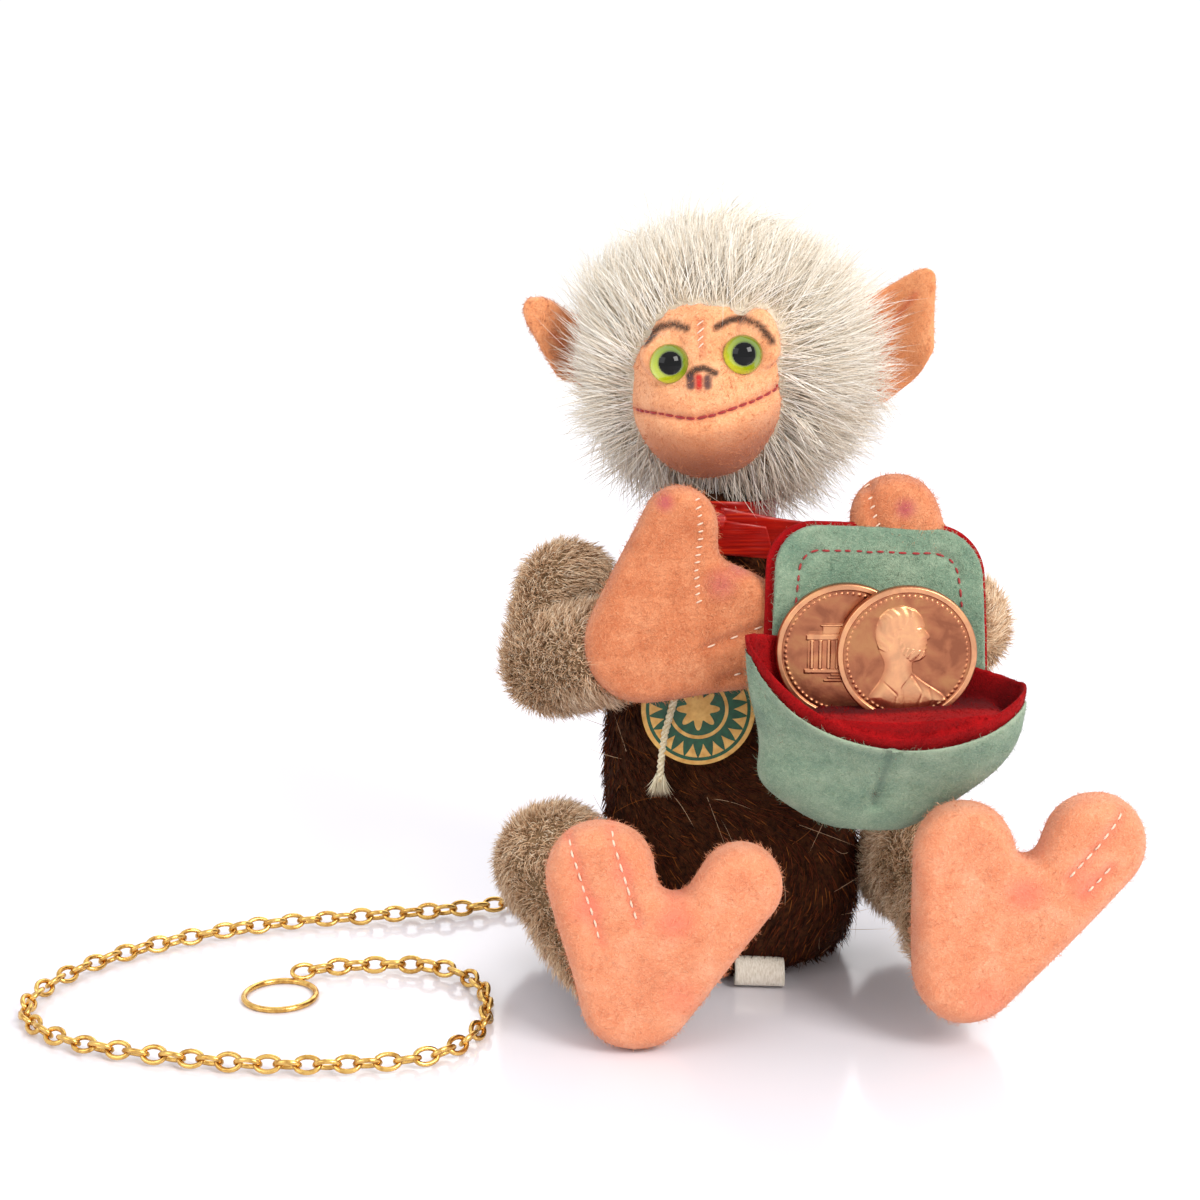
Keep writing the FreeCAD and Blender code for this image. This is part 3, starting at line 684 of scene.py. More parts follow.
torso_coat = Coat(torso.data, amount(19000), 11, torso_keep)
torso_flow = wander(torso_coat.roots, 7 * MM, 21) * [1.0, 1.0, 0.5] + np.array([0.2, 0, -0.75])
torso_pile = torso_coat.grow("torso_pile", PILE * 0.95, PILE_WIDTH, 0.3, torso_flow, bend=0.5, jitter=0.16,
                             shades=BROWN_STRANDS, odds=[5, 6, 3, 1, 5])
finish_piece(torso_pile, "torso")
stray_coat = Coat(torso.data, amount(260), 12, lambda points: torso_keep(points) & (points[:, 1] < 4 * MM))
strays = stray_coat.grow("torso_stray_hairs", 9 * MM, 0.05 * MM, 0.16, wander(stray_coat.roots, 5 * MM, 5),
                         bend=0.8, jitter=0.5, segments=5, shades=[BROWN_STRANDS[3], TAUPE_STRANDS[0]])
finish_piece(strays, "torso")

PAWS = {}
for side in ("right", "left"):
    for limb, paw in (("arm", "hand"), ("leg", "foot")):
        label, paw_label = f"{limb}_{side}", f"{paw}_{side}"
        sleeve = soft_form(f"{label}_plush", [f"{label}_sleeve", f"{label}_stuffing"], 0.55 * MM, 10)
        swell(sleeve, 0.35 * MM, 6 * MM, 31)
        sleeve.data.materials.append(GROUND_TAUPE)
        finish_piece(sleeve, label, [f"{label}_sleeve", f"{label}_stuffing"])
        paw_form = soft_form(f"{paw_label}_felt_skin", [f"{paw_label}_felt", f"{paw_label}_stuffing"],
                             0.42 * MM, 16)
        PAWS[paw_label] = paw_form
        coat = Coat(sleeve.data, amount(15500), 41, lambda points: points[:, 2] > 0.5 * MM)
        to_paw = unit(middle(f"{paw_label}_felt") - coat.roots)
        flow = to_paw + 0.5 * wander(coat.roots, 4 * MM, 51)
        pile = coat.grow(f"{label}_pile", PILE, PILE_WIDTH, 0.55, flow, bend=0.45, jitter=0.2, share=0.3,
                         shades=TAUPE_STRANDS, odds=[5, 3, 4, 1, 2])
        finish_piece(pile, label)

# ---------------------------------------------------------------- head and white hair
head = soft_form("head_plush", ["head_skin", "head_stuffing"], 0.6 * MM, 8)
finish_piece(head, "head", ["head_skin", "head_stuffing"], material=GROUND_WHITE)
head_middle = middle("head_skin")
MUZZLE_MIDDLE_DEPTH = -9.8 * MM
face_middle = middle("face_felt")
face_middle[1] = MUZZLE_MIDDLE_DEPTH
MOUTH = [(-17.4, 86.8), (-13.2, 87.0), (-8.4, 86.6), (-3.5, 87.9), (0.8, 89.3), (5.6, 91.4)]
face = soft_form("face_felt_skin", ["face_felt", "eye_right", "eye_left"], 0.34 * MM, 6)
points = points_of(face.data)
for node in ("eye_right", "eye_left"):
    near = np.linalg.norm((points - middle(node))[:, [0, 2]], axis=1)
    points[:, 1] += 2.2 * MM * np.exp(-(near / (2.6 * MM)) ** 2) * (points[:, 1] < -12 * MM)
upper = ease(points[:, 2], 90 * MM, 98 * MM)
points[:, 0] = face_middle[0] + (points[:, 0] - face_middle[0]) * (1 + 0.28 * upper)
points[:, 0] += 1.0 * MM * ease(points[:, 0], -8 * MM, 3 * MM)
brow = ease(points[:, 2], 95.5 * MM, 98.5 * MM)
sideways = np.abs(points[:, 0] - face_middle[0])
points[:, 2] += (3.6 + 0.5 * ease(sideways, 3 * MM, 7 * MM)) * MM * brow
points[:, 2] -= 1.0 * MM * ease(-points[:, 2], -84 * MM, -78 * MM)
head_half = half_size(*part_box("head_skin"))
shares = (points - head_middle)[:, [0, 2]] / head_half[[0, 2]]
head_front = head_middle[1] - head_half[1] * np.sqrt(np.maximum(1 - np.sum(shares ** 2, axis=1), 0))
upper_front = (normals_of(face.data)[:, 1] < 0.1) * ease(points[:, 2], 93 * MM, 96 * MM)
raised = np.minimum(points[:, 1], head_front - 1.3 * MM * upper_front)
points[:, 1] = np.where(upper_front > 0, raised, points[:, 1])
mouth_height = np.interp(points[:, 0], [p[0] * MM for p in MOUTH], [p[1] * MM for p in MOUTH])
below = mouth_height - points[:, 2]
chin = ease(below, 0, 2.5 * MM) * (1 - ease(below, 5 * MM, 12 * MM))
points[:, 1] -= 0.7 * MM * chin * (points[:, 1] < -10 * MM)
move_points(face.data, points)
face_tree = tree_of(face)


def off_face(points):
    """True behind the head's middle and where the felt face doesn't cover the head."""
    forward = Vector((0, -1, 0))
    return np.array([point[1] > head_middle[1] or face_tree.ray_cast(Vector(point), forward)[0] is None
                     for point in points])


HAIR_LAYERS = [            # name, strands, length, how upright, width, seed
    ("hair_under", 9300, 7.5, 0.50, 0.085, 61), ("hair_middle", 9300, 10.2, 0.42, 0.08, 62),
    ("hair_outer", 9300, 11.5, 0.46, 0.07, 63),
]
for name, count, length, stand, width, seed in HAIR_LAYERS:
    coat = Coat(head.data, amount(count), seed, off_face)
    out = (coat.roots - face_middle) * [1.0, 0.35, 1.0]
    low = 1 - ease(coat.roots[:, 2:], head_middle[2] - 14 * MM, head_middle[2] + 4 * MM)
    rear = ease(coat.roots[:, 1:2], head_middle[1] + 2 * MM, head_middle[1] + 16 * MM)
    flow = unit(out) + wander(coat.roots, 9 * MM, seed) * 0.4
    flow = flow + (0.35 * low + 1.1 * rear) * np.array([0, 0, -1.0])
    high = ease(coat.roots[:, 2:], head_middle[2] + 4 * MM, head_middle[2] + 17 * MM)
    leftward = ease(coat.roots[:, :1], head_middle[0] - 16 * MM, head_middle[0] + 4 * MM)
    ear_gap = 1 - 0.45 * (coat.roots[:, :1] < -21 * MM) * (np.abs(coat.roots[:, 2:] - 92 * MM) < 6 * MM)
    lengths = (1 - 0.36 * high) * (0.76 + 0.24 * leftward) * ear_gap * length * MM
    hair = coat.grow(name, lengths, width * MM, stand - 0.14 * high, flow, bend=0.45, jitter=0.17, segments=3,
                     shades=WHITE_STRANDS, odds=[5, 4, 2, 4], share=0.5, droop=(0, 0, -0.08))
    finish_piece(hair, "head")
wisp_coat = Coat(head.data, amount(1500), 64, off_face)
wisp_flow = (wisp_coat.roots - face_middle) + wander(wisp_coat.roots, 4 * MM, 9) * 4 * MM
wisps = wisp_coat.grow("hair_wisps", 11 * MM, 0.045 * MM, 0.4, wisp_flow, bend=0.5, jitter=0.4, segments=5,
                       shades=WHITE_STRANDS[:2], share=0.3)
finish_piece(wisps, "head")


# ---------------------------------------------------------------- threads
def on_front(tree, points):
    """Points dropped from the front onto a surface, with the surface's normals."""
    spots, normals = [], []
    for point in points:
        hit, normal, _, _ = tree.ray_cast(Vector((point[0], -0.2, point[2])), Vector((0, 1, 0)))
        if hit is None:
            hit, normal, _, _ = tree.find_nearest(Vector(point))
        spots.append(hit)
        normals.append(normal)
    return np.array(spots), np.array(normals)


def smooth_line(corners, count):
    """Even points on a smooth line through a few corners, in metres."""
    corners = np.array(corners, float)
    run = run_along(corners)
    line = places_at(np.linspace(0, run[-1], count), run, corners)
    for _ in range(max(count // 10, 1)):
        line[1:-1] = (line[:-2] + 2 * line[1:-1] + line[2:]) / 4
    return line


def bead(start, end, radius, normal, flat=0.7, around=6, along=6):
    """A short plump stitch from start to end, flattened against the surface."""
    way = unit(end - start)
    side = unit(np.cross(way, normal))
    up = np.cross(side, way)
    points = []
    for i in range(along + 1):
        share = i / along
        girth = radius * math.sqrt(max(1 - (2 * share - 1) ** 4, 0.02))
        centre = start + (end - start) * share + up * radius * 0.8 * math.sin(math.pi * share)
        for j in range(around):
            turn = 2 * math.pi * j / around
            points.append(centre + girth * (side * math.cos(turn) + up * flat * math.sin(turn)))
    return points, tube_faces(along + 1, around)


def thread_work(name, spans, radius, material, body):
    """Stitches as one piece; a span is (start, end, normal)."""
    rng = np.random.default_rng(len(spans))
    points, faces = [], []
    for start, end, normal in spans:
        shift = rng.normal(size=3) * radius * 0.25
        new_points, new_faces = bead(np.array(start) + shift, np.array(end) + shift, radius, np.array(normal))
        faces += [tuple(len(points) + i for i in face) for face in new_faces]
        points += new_points
    thing = add_object(name, mesh_of(name, points, faces))
    thing.data.materials.append(material)
    return finish_piece(thing, body)


def running_stitch(tree, corners, stitch, gap, seed=1):
    """Spans of a running stitch laid along a line on the front of a surface."""
    rng = np.random.default_rng(seed)
    line = smooth_line(corners, 200)
    line, normals = on_front(tree, line)
    run = run_along(line)
    spans, mark = [], 0.0
    while mark + stitch < run[-1]:
        long = stitch * rng.uniform(0.8, 1.15)
        nearest = min(int(np.searchsorted(run, mark)), len(normals) - 1)
        spans.append((places_at(mark, run, line), places_at(mark + long, run, line), normals[nearest]))
        mark += long + gap * rng.uniform(0.8, 1.2)
    return spans


def cross_stitch(tree, corners, width, step, slant=0.35, seed=1):
    """Spans of an overcast seam: short stitches across a line."""
    rng = np.random.default_rng(seed)
    long = np.linalg.norm(np.array(corners[-1]) - np.array(corners[0]))
    line, normals = on_front(tree, smooth_line(corners, max(int(long / step), 4)))
    spans = []
    for here, after, normal in zip(line[:-1], line[1:], normals[:-1]):
        way = unit(after - here)
        side = np.cross(way, normal)
        reach = width / 2 * rng.uniform(0.8, 1.2)
        lean = (side + way * slant) * reach
        spans.append((here - lean, here + lean, normal))
    return spans


def strokes_near(points, corners, width, blur):
    """How strongly a soft stroke along a line covers each point, seen from the front."""
    line = smooth_line(corners, 60)[:, [0, 2]]
    flat = points[:, [0, 2]]
    nearest = np.full(len(points), 1e9)
    for spot in line:
        nearest = np.minimum(nearest, np.linalg.norm(flat - spot, axis=1))
    return 1 - ease(nearest, width / 2 - blur / 2, width / 2 + blur)


def store_paint(mesh, layers):
    """Layers of (colour, strength per point) stored as one colour with its strength."""
    shade = np.zeros((len(mesh.vertices), 3))
    cover = np.zeros(len(mesh.vertices))
    for ink, strength in layers:
        share = strength / np.maximum(strength + cover * (1 - strength), 1e-6)
        shade = shade * (1 - share[:, None]) + np.array(ink) * share[:, None]
        cover = strength + cover * (1 - strength)
    store_colours(mesh, np.concatenate([shade, cover[:, None]], axis=1))


def seam_groove(mesh, corners, width, depth):
    """Pulls the front of a felt form in along a sewn line."""
    points, normals = points_of(mesh), normals_of(mesh)
    near = strokes_near(points, corners, 0.0, width) * (normals[:, 1] < 0)
    move_points(mesh, points - normals * near[:, None] * depth)


def felt_fuzz(thing, body, shades, count, length=0.9, stand=0.35, keep=None, seed=71):
    """Loose wool ends on a felt surface."""
    coat = Coat(thing.data, amount(count), seed, keep)
    fuzz = coat.grow(f"{thing.name}_fuzz", length * MM, 0.03 * MM, stand, wander(coat.roots, 1.5 * MM, seed),
                     bend=0.9, jitter=0.5, spread=0.6, segments=2, shades=shades)
    return finish_piece(fuzz, body)


# ---------------------------------------------------------------- hands and feet
BLUSH = colour(168, 58, 84)
BLUSH_SOFT = colour(236, 120, 96)
HAND_FELT = felt("hand_felt", PEACH, PEACH_DEEP, PEACH_LIGHT, painted=True)
FOOT_FELT = felt("foot_felt", FOOT, FOOT_DEEP, FOOT_LIGHT, painted=True)
HAND_FUZZ = [plain_hair("hand_fuzz_light", PEACH_LIGHT), plain_hair("hand_fuzz", PEACH)]
FOOT_FUZZ = [plain_hair("foot_fuzz_light", FOOT_LIGHT), plain_hair("foot_fuzz", FOOT)]
CREAM_THREAD = Shader("cream_thread", THREAD_CREAM, 0.7, Sheen_Weight=0.3)
CREAM_THREAD.bump(CREAM_THREAD.noise(5000, 2), 0.00008)
RED_THREAD = Shader("red_thread", THREAD_RED, 0.6, Sheen_Weight=0.3)
RED_THREAD.paint(RED_THREAD.two_tone(RED_THREAD.noise(3000, 3), darker(THREAD_RED, 0.6), THREAD_RED))
CREAM_THREAD.paint(CREAM_THREAD.two_tone(CREAM_THREAD.noise(2500, 3), darker(THREAD_CREAM, 0.75),
                                         THREAD_CREAM))

PAW_SEAMS = {              # sewn lines between fingers and toes, on the front of each paw
    "hand_right": [[(-6.6, 55.4), (1.2, 58.4)], [(-4.6, 50.8), (2.4, 53.0)]],
    "hand_left": [[(15.4, 79.0), (15.9, 75.0), (17.7, 70.4)]],
    "foot_right": [[(-25.8, 31.4), (-23.7, 24.4), (-21.5, 17.0)],
                   [(-20.1, 32.6), (-18.2, 26.2), (-16.4, 19.7)]],
    "foot_left": [[(49.2, 35.8), (46.2, 31.5), (42.2, 26.6)], [(47.9, 28.2), (46.1, 26.1), (44.3, 23.9)]],
}
PAW_BLUSH = {              # tinted spots: place, radius, colour, strength
    "hand_right": [((-12.7, 76.0), 2.0, BLUSH, 0.7), ((-4.8, 64.5), 3.4, BLUSH, 0.45),
                   ((-2.0, 66.8), 2.4, BLUSH, 0.5)],
    "hand_left": [((20.4, 75.2), 2.2, BLUSH, 0.75), ((16.5, 71.5), 2.0, BLUSH, 0.4)],
    "foot_right": [((-11.4, 20.4), 4.2, BLUSH_SOFT, 0.8), ((-23.4, 22.0), 3.6, BLUSH_SOFT, 0.7),
                   ((-18.6, 27.0), 3.0, BLUSH_SOFT, 0.55), ((-10.5, 9.0), 4.4, BLUSH_SOFT, 0.4)],
    "foot_left": [((36.4, 24.6), 4.2, BLUSH_SOFT, 0.8), ((44.6, 26.0), 3.6, BLUSH_SOFT, 0.6),
                  ((32.0, 9.0), 5.0, BLUSH_SOFT, 0.4)],
}
THUMB_SEAM = [(-8.2, 76.4), (-7.6, 72.0), (-8.3, 66.0), (-7.7, 60.9)]


def front_line(corners):
    """A line given across and up in millimetres, as places in metres."""
    return [mm(x, 0, z) for x, z in corners]


for paw, form in PAWS.items():
    kind, side = paw.split("_")
    is_hand = kind == "hand"
    body = f"{'arm' if is_hand else 'leg'}_{side}"
    seams = [front_line(line) for line in PAW_SEAMS[paw]]
    low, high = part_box(f"{paw}_felt")
    depth_middle = (low.y + high.y) / 2
    points = points_of(form.data)
    away = points[:, 1] - depth_middle
    plump = 1 + 0.12 * (not is_hand) + 0.1 * wander(points, 9 * MM, 13)[:, 0]
    points[:, 1] = depth_middle + away * plump
    move_points(form.data, points)
    swell(form, 0.18 * MM, 4 * MM, 17)
    for line in seams:
        seam_groove(form.data, line, 1.5 * MM, 0.75 * MM)
    points = points_of(form.data)
    spots = []
    for place, reach, ink, strength in PAW_BLUSH[paw]:
        away = np.linalg.norm(points[:, [0, 2]] - mm(*place), axis=1)
        spots.append((ink, strength * (1 - ease(away, 0, reach * MM))))
    # Painted shade along the sewn lines between fingers and toes: darker peach on the hands, the pink blush
    # colour on the feet.
    crease_shade_colour = PEACH_DEEP if is_hand else BLUSH_SOFT
    crease_shade = [(crease_shade_colour, 0.6 * strokes_near(points, line, 0.4 * MM, 1.6 * MM)) for line in seams]
    store_paint(form.data, spots + crease_shade)
    form.data.materials.append(HAND_FELT if is_hand else FOOT_FELT)
    finish_piece(form, body, [f"{paw}_felt", f"{paw}_stuffing"])
    felt_fuzz(form, body, HAND_FUZZ if is_hand else FOOT_FUZZ, 7000, seed=73)
    tree = tree_of(form)
    if paw == "hand_left":
        spans = cross_stitch(tree, seams[0], 1.0 * MM, 1.1 * MM)
    else:
        spans = [span for line in seams for span in running_stitch(tree, line, 1.3 * MM, 0.5 * MM)]
    if paw == "hand_right":
        spans = spans[::2] + cross_stitch(tree, front_line(THUMB_SEAM), 0.8 * MM, 1.0 * MM)
    thread = (0.13 if is_hand else 0.17) * MM
    thread_work(f"{paw}_stitches", spans, thread, CREAM_THREAD.material, body)

# ---------------------------------------------------------------- face, eyes and ears
FACE_INK = colour(44, 26, 16)
FACE_VIOLET = colour(52, 30, 44)
FACE_RED = colour(190, 40, 34)
CHIN_SHADE = colour(168, 84, 42)
BROWS = [[(-15.4, 96.8), (-13.4, 98.8), (-11.4, 99.4), (-9.5, 98.9)],
         [(-5.4, 99.1), (-3.5, 100.0), (-1.4, 100.3), (0.6, 99.4), (2.4, 97.2)]]
NOSE_ARC = [(-9.2, 92.6), (-8.4, 93.4), (-7.2, 93.7), (-5.6, 93.0)]
NOSTRILS = [(-9.0, 91.7), (-6.7, 91.8)]
NOSE_RED = [(-7.9, 92.4), (-7.9, 91.2)]
SEAM = [(-7.6, 99.6), (-7.6, 97.6), (-7.4, 95.6)]
EYE_PLACES = [mm(*place) for place in ((-11.9, -17.6, 94.0), (-1.7, -17.9, 95.3))]
BARE_ROUND_EYE = 3.2 * MM
swell(face, 0.2 * MM, 4 * MM, 23)
seam_groove(face.data, front_line(MOUTH), 1.3 * MM, 0.7 * MM)
seam_groove(face.data, front_line(SEAM), 1.1 * MM, 0.35 * MM)
points = points_of(face.data)


def ink_and_shade_line(ink, strength, corners, width, blur):
    """One layer along a line, of face paint for the features and of painted shade for the seam; width and blur
    in millimetres.
    """
    return ink, strength * strokes_near(points, front_line(corners), width * MM, blur * MM)


# Painted shade below the mouth, stronger towards the bottom of the chin.
layers = [(CHIN_SHADE, ease(mouth_height - points[:, 2], 0, 8 * MM) * 0.85)]
layers += [ink_and_shade_line(FACE_INK, 0.96, line, 0.8, 0.4) for line in BROWS]
layers += [ink_and_shade_line(FACE_INK, 0.95, NOSE_ARC, 0.75, 0.35), ink_and_shade_line(FACE_RED, 1.0, NOSE_RED, 0.8, 0.4)]
layers += [ink_and_shade_line(FACE_VIOLET, 0.9, [(x, z - 0.45), (x, z + 0.45)], 1.0, 0.35) for x, z in NOSTRILS]
# The mouth line is red paint; the line along the face seam is painted shade in its groove.
layers += [ink_and_shade_line(FACE_RED, 0.6, MOUTH, 0.4, 0.5), ink_and_shade_line(colour(176, 84, 58), 0.55, SEAM, 0.4, 0.9)]
store_paint(face.data, layers)
face_wool = [colour(234, 164, 116), colour(212, 132, 84), colour(244, 190, 148)]
face.data.materials.append(felt("face_felt_wool", *face_wool, painted=True))
finish_piece(face, "head", ["face_felt"])


def off_eyes(roots):
    """True away from the two glass eyes."""
    return np.min([np.linalg.norm(roots - eye, axis=1) for eye in EYE_PLACES], axis=0) > BARE_ROUND_EYE


felt_fuzz(face, "head", HAND_FUZZ, 7000, 0.7, 0.25, seed=75, keep=off_eyes)
felt_tree = tree_of(face)
mouth_spans = running_stitch(felt_tree, front_line(MOUTH), 1.5 * MM, 0.12 * MM, 3)
thread_work("mouth_stitches", mouth_spans, 0.21 * MM, RED_THREAD.material, "head")
seam_spans = cross_stitch(felt_tree, front_line(SEAM), 1.0 * MM, 0.75 * MM, 0.8, 5)
thread_work("face_seam_stitches", seam_spans, 0.12 * MM, CREAM_THREAD.material, "head")

GAZE = unit(np.array([0.02, -1.0, 0.16]))
PUPIL_EDGE = 34
eye_glass = Shader("eye_glass", colour(120, 150, 20), 0.12, Coat_Weight=1.0, Coat_Roughness=0.02, IOR=1.5)
glass_shade, _, _ = eye_glass.attribute("paint")
eye_glass.paint(glass_shade)
PUPIL_BLACK = (0.001, 0.001, 0.001)
pupil_glass = Shader("pupil_glass", PUPIL_BLACK, 0.05, Specular_IOR_Level=0.22)
pupil_glass.paint(pupil_glass.two_tone(pupil_glass.noise(400, 2), PUPIL_BLACK, (0.003, 0.003, 0.004)))


def gaze_angle(ways):
    """Degrees between some directions and the way the eyes look."""
    return np.degrees(np.arccos(np.clip(unit(ways) @ GAZE, -1, 1)))


for side in ("right", "left"):
    low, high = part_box(f"eye_{side}")
    radius = (high.z - low.z) / 2 * 1.03
    centre = middle(f"eye_{side}") - mm(0, 0.35, 0)
    ball = bmesh.new()
    bmesh.ops.create_uvsphere(ball, u_segments=96, v_segments=64, radius=radius)
    sphere = bpy.data.meshes.new(f"glass_eye_{side}")
    ball.to_mesh(sphere)
    ball.free()
    around = points_of(sphere)
    angle = gaze_angle(around)
    # Painted light: each iris is painted a brighter yellow-green towards its lower left.
    painted_light = 0.5 + 0.5 * unit(around) @ unit(np.array([-0.7, 0.0, -0.7]))
    fibres = 0.5 + 0.5 * np.sin(np.arctan2(around[:, 2], around[:, 0]) * 46) * np.sin(angle * 0.6)
    iris = np.array(colour(92, 118, 8)) + np.outer(painted_light ** 2, np.array(colour(206, 214, 20)))
    iris = iris * (0.8 + 0.2 * fibres[:, None]) * (1 - 0.55 * ease(angle, 62, 86))[:, None]
    iris = iris * (0.35 + 0.65 * ease(angle, PUPIL_EDGE, PUPIL_EDGE + 9))[:, None]
    pupil = 1 - ease(angle, PUPIL_EDGE - 1.5, PUPIL_EDGE + 1.5)
    shade = iris * (1 - pupil[:, None]) + np.array([0.002, 0.002, 0.002]) * pupil[:, None]
    store_colours(sphere, np.concatenate([shade, np.ones((len(around), 1))], axis=1))
    sphere.polygons.foreach_set("use_smooth", [True] * len(sphere.polygons))
    eye = add_object(f"glass_eye_{side}", sphere)
    move_points(sphere, around + centre)
    sphere.materials.append(eye_glass.material)
    sphere.materials.append(pupil_glass.material)
    black = gaze_angle(np.array([p.center for p in sphere.polygons]) - centre) < PUPIL_EDGE
    sphere.polygons.foreach_set("material_index", black.astype(np.int32))
    finish_piece(eye, "head", [f"eye_{side}"])

EAR_FELT = felt("ear_felt", colour(232, 152, 100), colour(212, 124, 72), colour(242, 178, 132), painted=True)
EAR_PAINTED_SHADE = colour(222, 120, 66)
EAR_RED = colour(196, 70, 44)
EAR_SHAPES = {             # outer edge, inner edge, tip height, the tip's lift and spread, line inside the rim
    "left": (27.4, 12.0, 104.0, 1.9, 0.0, [(24.6, 102.2), (22.2, 98.6), (21.0, 95.0)]),
    "right": (-30.8, -18.0, 98.5, 2.6, 1.4, [(-28.6, 96.4), (-26.2, 93.4), (-24.4, 91.6)]),
}
for side, (outer, inner, top, lift, spread, line) in EAR_SHAPES.items():
    ear = soft_form(f"ear_{side}_felt", [f"ear_{side}"], 0.32 * MM, 5)
    points = points_of(ear.data)
    share = np.clip((points[:, 0] - inner * MM) / ((outer - inner) * MM), 0, 1)
    sunk = 3.4 * MM * (1 - ease(share, 0.1, 0.85)) * ease(points[:, 2], (top - 10) * MM, top * MM)
    points[:, 2] -= sunk
    curl = 3.6 * MM * ease(share, 0.45, 1.0) ** 1.5 - 1.3 * MM * ease(share, 0, 0.5)
    rise = ease(points[:, 2], (top - 6) * MM, top * MM)
    points[:, 1] -= curl + 1.1 * MM * rise
    way = 1 if outer > inner else -1
    below_tip = points[:, 2] - (top - 15) * MM
    points[:, 0] += way * 2.4 * MM * share ** 2 * np.exp(-(below_tip / (3.2 * MM)) ** 2)
    points[:, 2] += lift * MM * ease(share, 0.55, 1.0) * rise
    points[:, 0] += way * spread * MM * share ** 2 * rise
    move_points(ear.data, points)
    swell(ear, 0.2 * MM, 5 * MM, 27)
    points = points_of(ear.data)
    front = normals_of(ear.data)[:, 1] < 0.2
    red_line = strokes_near(points, front_line(line), 0.3 * MM, 0.8 * MM)
    # Painted shade darkens the front of the ear towards its inner edge by the head; the red line inside the
    # rim is the ear's own colour.
    store_paint(ear.data, [(EAR_PAINTED_SHADE, 0.5 * (1 - ease(share, 0.2, 0.8)) * front),
                           (EAR_RED, 0.6 * front * red_line)])
    finish_piece(ear, "head", [f"ear_{side}"], material=EAR_FELT)
    felt_fuzz(ear, "head", HAND_FUZZ, 3500, 0.7, 0.3, seed=77)

# ---------------------------------------------------------------- cap
SAGE_FELT = felt("sage_felt", SAGE, SAGE_DEEP, SAGE_LIGHT)
SAGE_FELT_PAINTED = felt("sage_felt_darted", SAGE, SAGE_DEEP, SAGE_LIGHT, painted=True)
CRIMSON_FELT = felt("crimson_felt", CRIMSON, CRIMSON_DEEP, CRIMSON_LIGHT, sheen=0.02)
SAGE_FUZZ = [plain_hair("sage_fuzz_light", SAGE_LIGHT), plain_hair("sage_fuzz", SAGE)]
CRIMSON_FUZZ = [plain_hair("crimson_fuzz", CRIMSON, 0.9, 0.05),
                plain_hair("crimson_fuzz_deep", CRIMSON_DEEP, 0.9, 0.05)]
SAG_MIDDLE = mm(20.3, 0, 68.3)
SAG_RADIUS = 24 * MM
DART = [(18.3, 45.6), (17.2, 40.5), (16.4, 35.0)]
TACK = [(18.2, 42.9), (22.6, 42.5)]
POUCH_CORNER = 37.5 * MM     # height at which the pouch is widest below its rim


def rim_height(x):
    """Height of the cap's mouth over a place across it."""
    return SAG_MIDDLE[2] - np.sqrt(np.maximum(SAG_RADIUS ** 2 - (x - SAG_MIDDLE[0]) ** 2, 0))


crown = soft_form("cap_crown_felt", ["cap_crown"], 0.3 * MM, 4, shell=True)
swell(crown, 0.3 * MM, 6 * MM, 29)
seam_groove(crown.data, front_line(DART), 1.8 * MM, 0.9 * MM)
points = points_of(crown.data)
edge = rim_height(points[:, 0]) - points[:, 2]
flare = 1 - ease(edge, 0, 3 * MM)
outward = unit((points - middle("cap_crown")) * [0.25, 1.0, 0])
wave = wander(points, 9 * MM, 33)[:, 2] * 0.5 * MM * flare
points += outward * (flare * 0.35 * MM)[:, None]
points[:, 2] += wave
across = points[:, 0] - middle("cap_crown")[0]
corner = np.exp(-((points[:, 2] - POUCH_CORNER) / (4.5 * MM)) ** 2) * ease(np.abs(across), 2 * MM, 9 * MM)
points[:, 0] += np.where(across < 0, -2.4, 0.8) * corner * MM
move_points(crown.data, points)
# Painted shade darkens the felt along the dart, and a painted highlight lightens it along the rim of the
# mouth.
dart_painted_shade = strokes_near(points, front_line(DART), 0.2 * MM, 0.8 * MM)
store_paint(crown.data, [(darker(SAGE_DEEP, 0.6), 0.7 * dart_painted_shade),
                         (SAGE_LIGHT, 0.75 * (1 - ease(edge, 0.2 * MM, 1.4 * MM)))])
finish_piece(crown, "arm_left", ["cap_crown"], material=SAGE_FELT_PAINTED)
felt_fuzz(crown, "arm_left", SAGE_FUZZ, 9000, 0.8, seed=79)

lining = soft_form("cap_lining_felt", ["cap_lining", "cap_wadding"], 0.3 * MM, 4, shell=True)
points = points_of(lining.data)
edge = rim_height(points[:, 0]) - points[:, 2]
lift = 1 - ease(edge, 0, 3.2 * MM)
points[:, 2] += lift * (2.1 * MM + wander(points, 8 * MM, 35)[:, 2] * 0.35 * MM)
outward = unit((points - middle("cap_lining")) * [0.3, 1.0, 0])
points += outward * (lift * np.where(outward[:, 1] < 0, 0.9, 0.2) * MM)[:, None]
move_points(lining.data, points)
# Painted shade: the lining is painted a much darker crimson low inside the cap, back from the front rim.
depth_in = points[:, 1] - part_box("cap_lining")[0].y
deep = (1 - ease(points[:, 2], 47.4 * MM, 55 * MM)) * ease(depth_in, 2.2 * MM, 4.0 * MM)
store_paint(lining.data, [(colour(52, 1, 5), 0.85 * deep)])
lining.data.materials.append(felt("crimson_felt_inside", CRIMSON, CRIMSON_DEEP, CRIMSON_LIGHT, painted=True,
                                  sheen=0.02))
finish_piece(lining, "arm_left", ["cap_lining", "cap_wadding"])
felt_fuzz(lining, "arm_left", CRIMSON_FUZZ, 7000, 0.7, seed=81)

PEAK_ROUNDS = [(24.3, 65.3, 7.0), (8.6, 66.8, 6.0), (5.2, 56.0, 3.0), (29.0, 52.0, 3.0)]
PEAK_DEPTH = -28.7
HEM = 3.3                    # from the peak's edge to its line of stitches


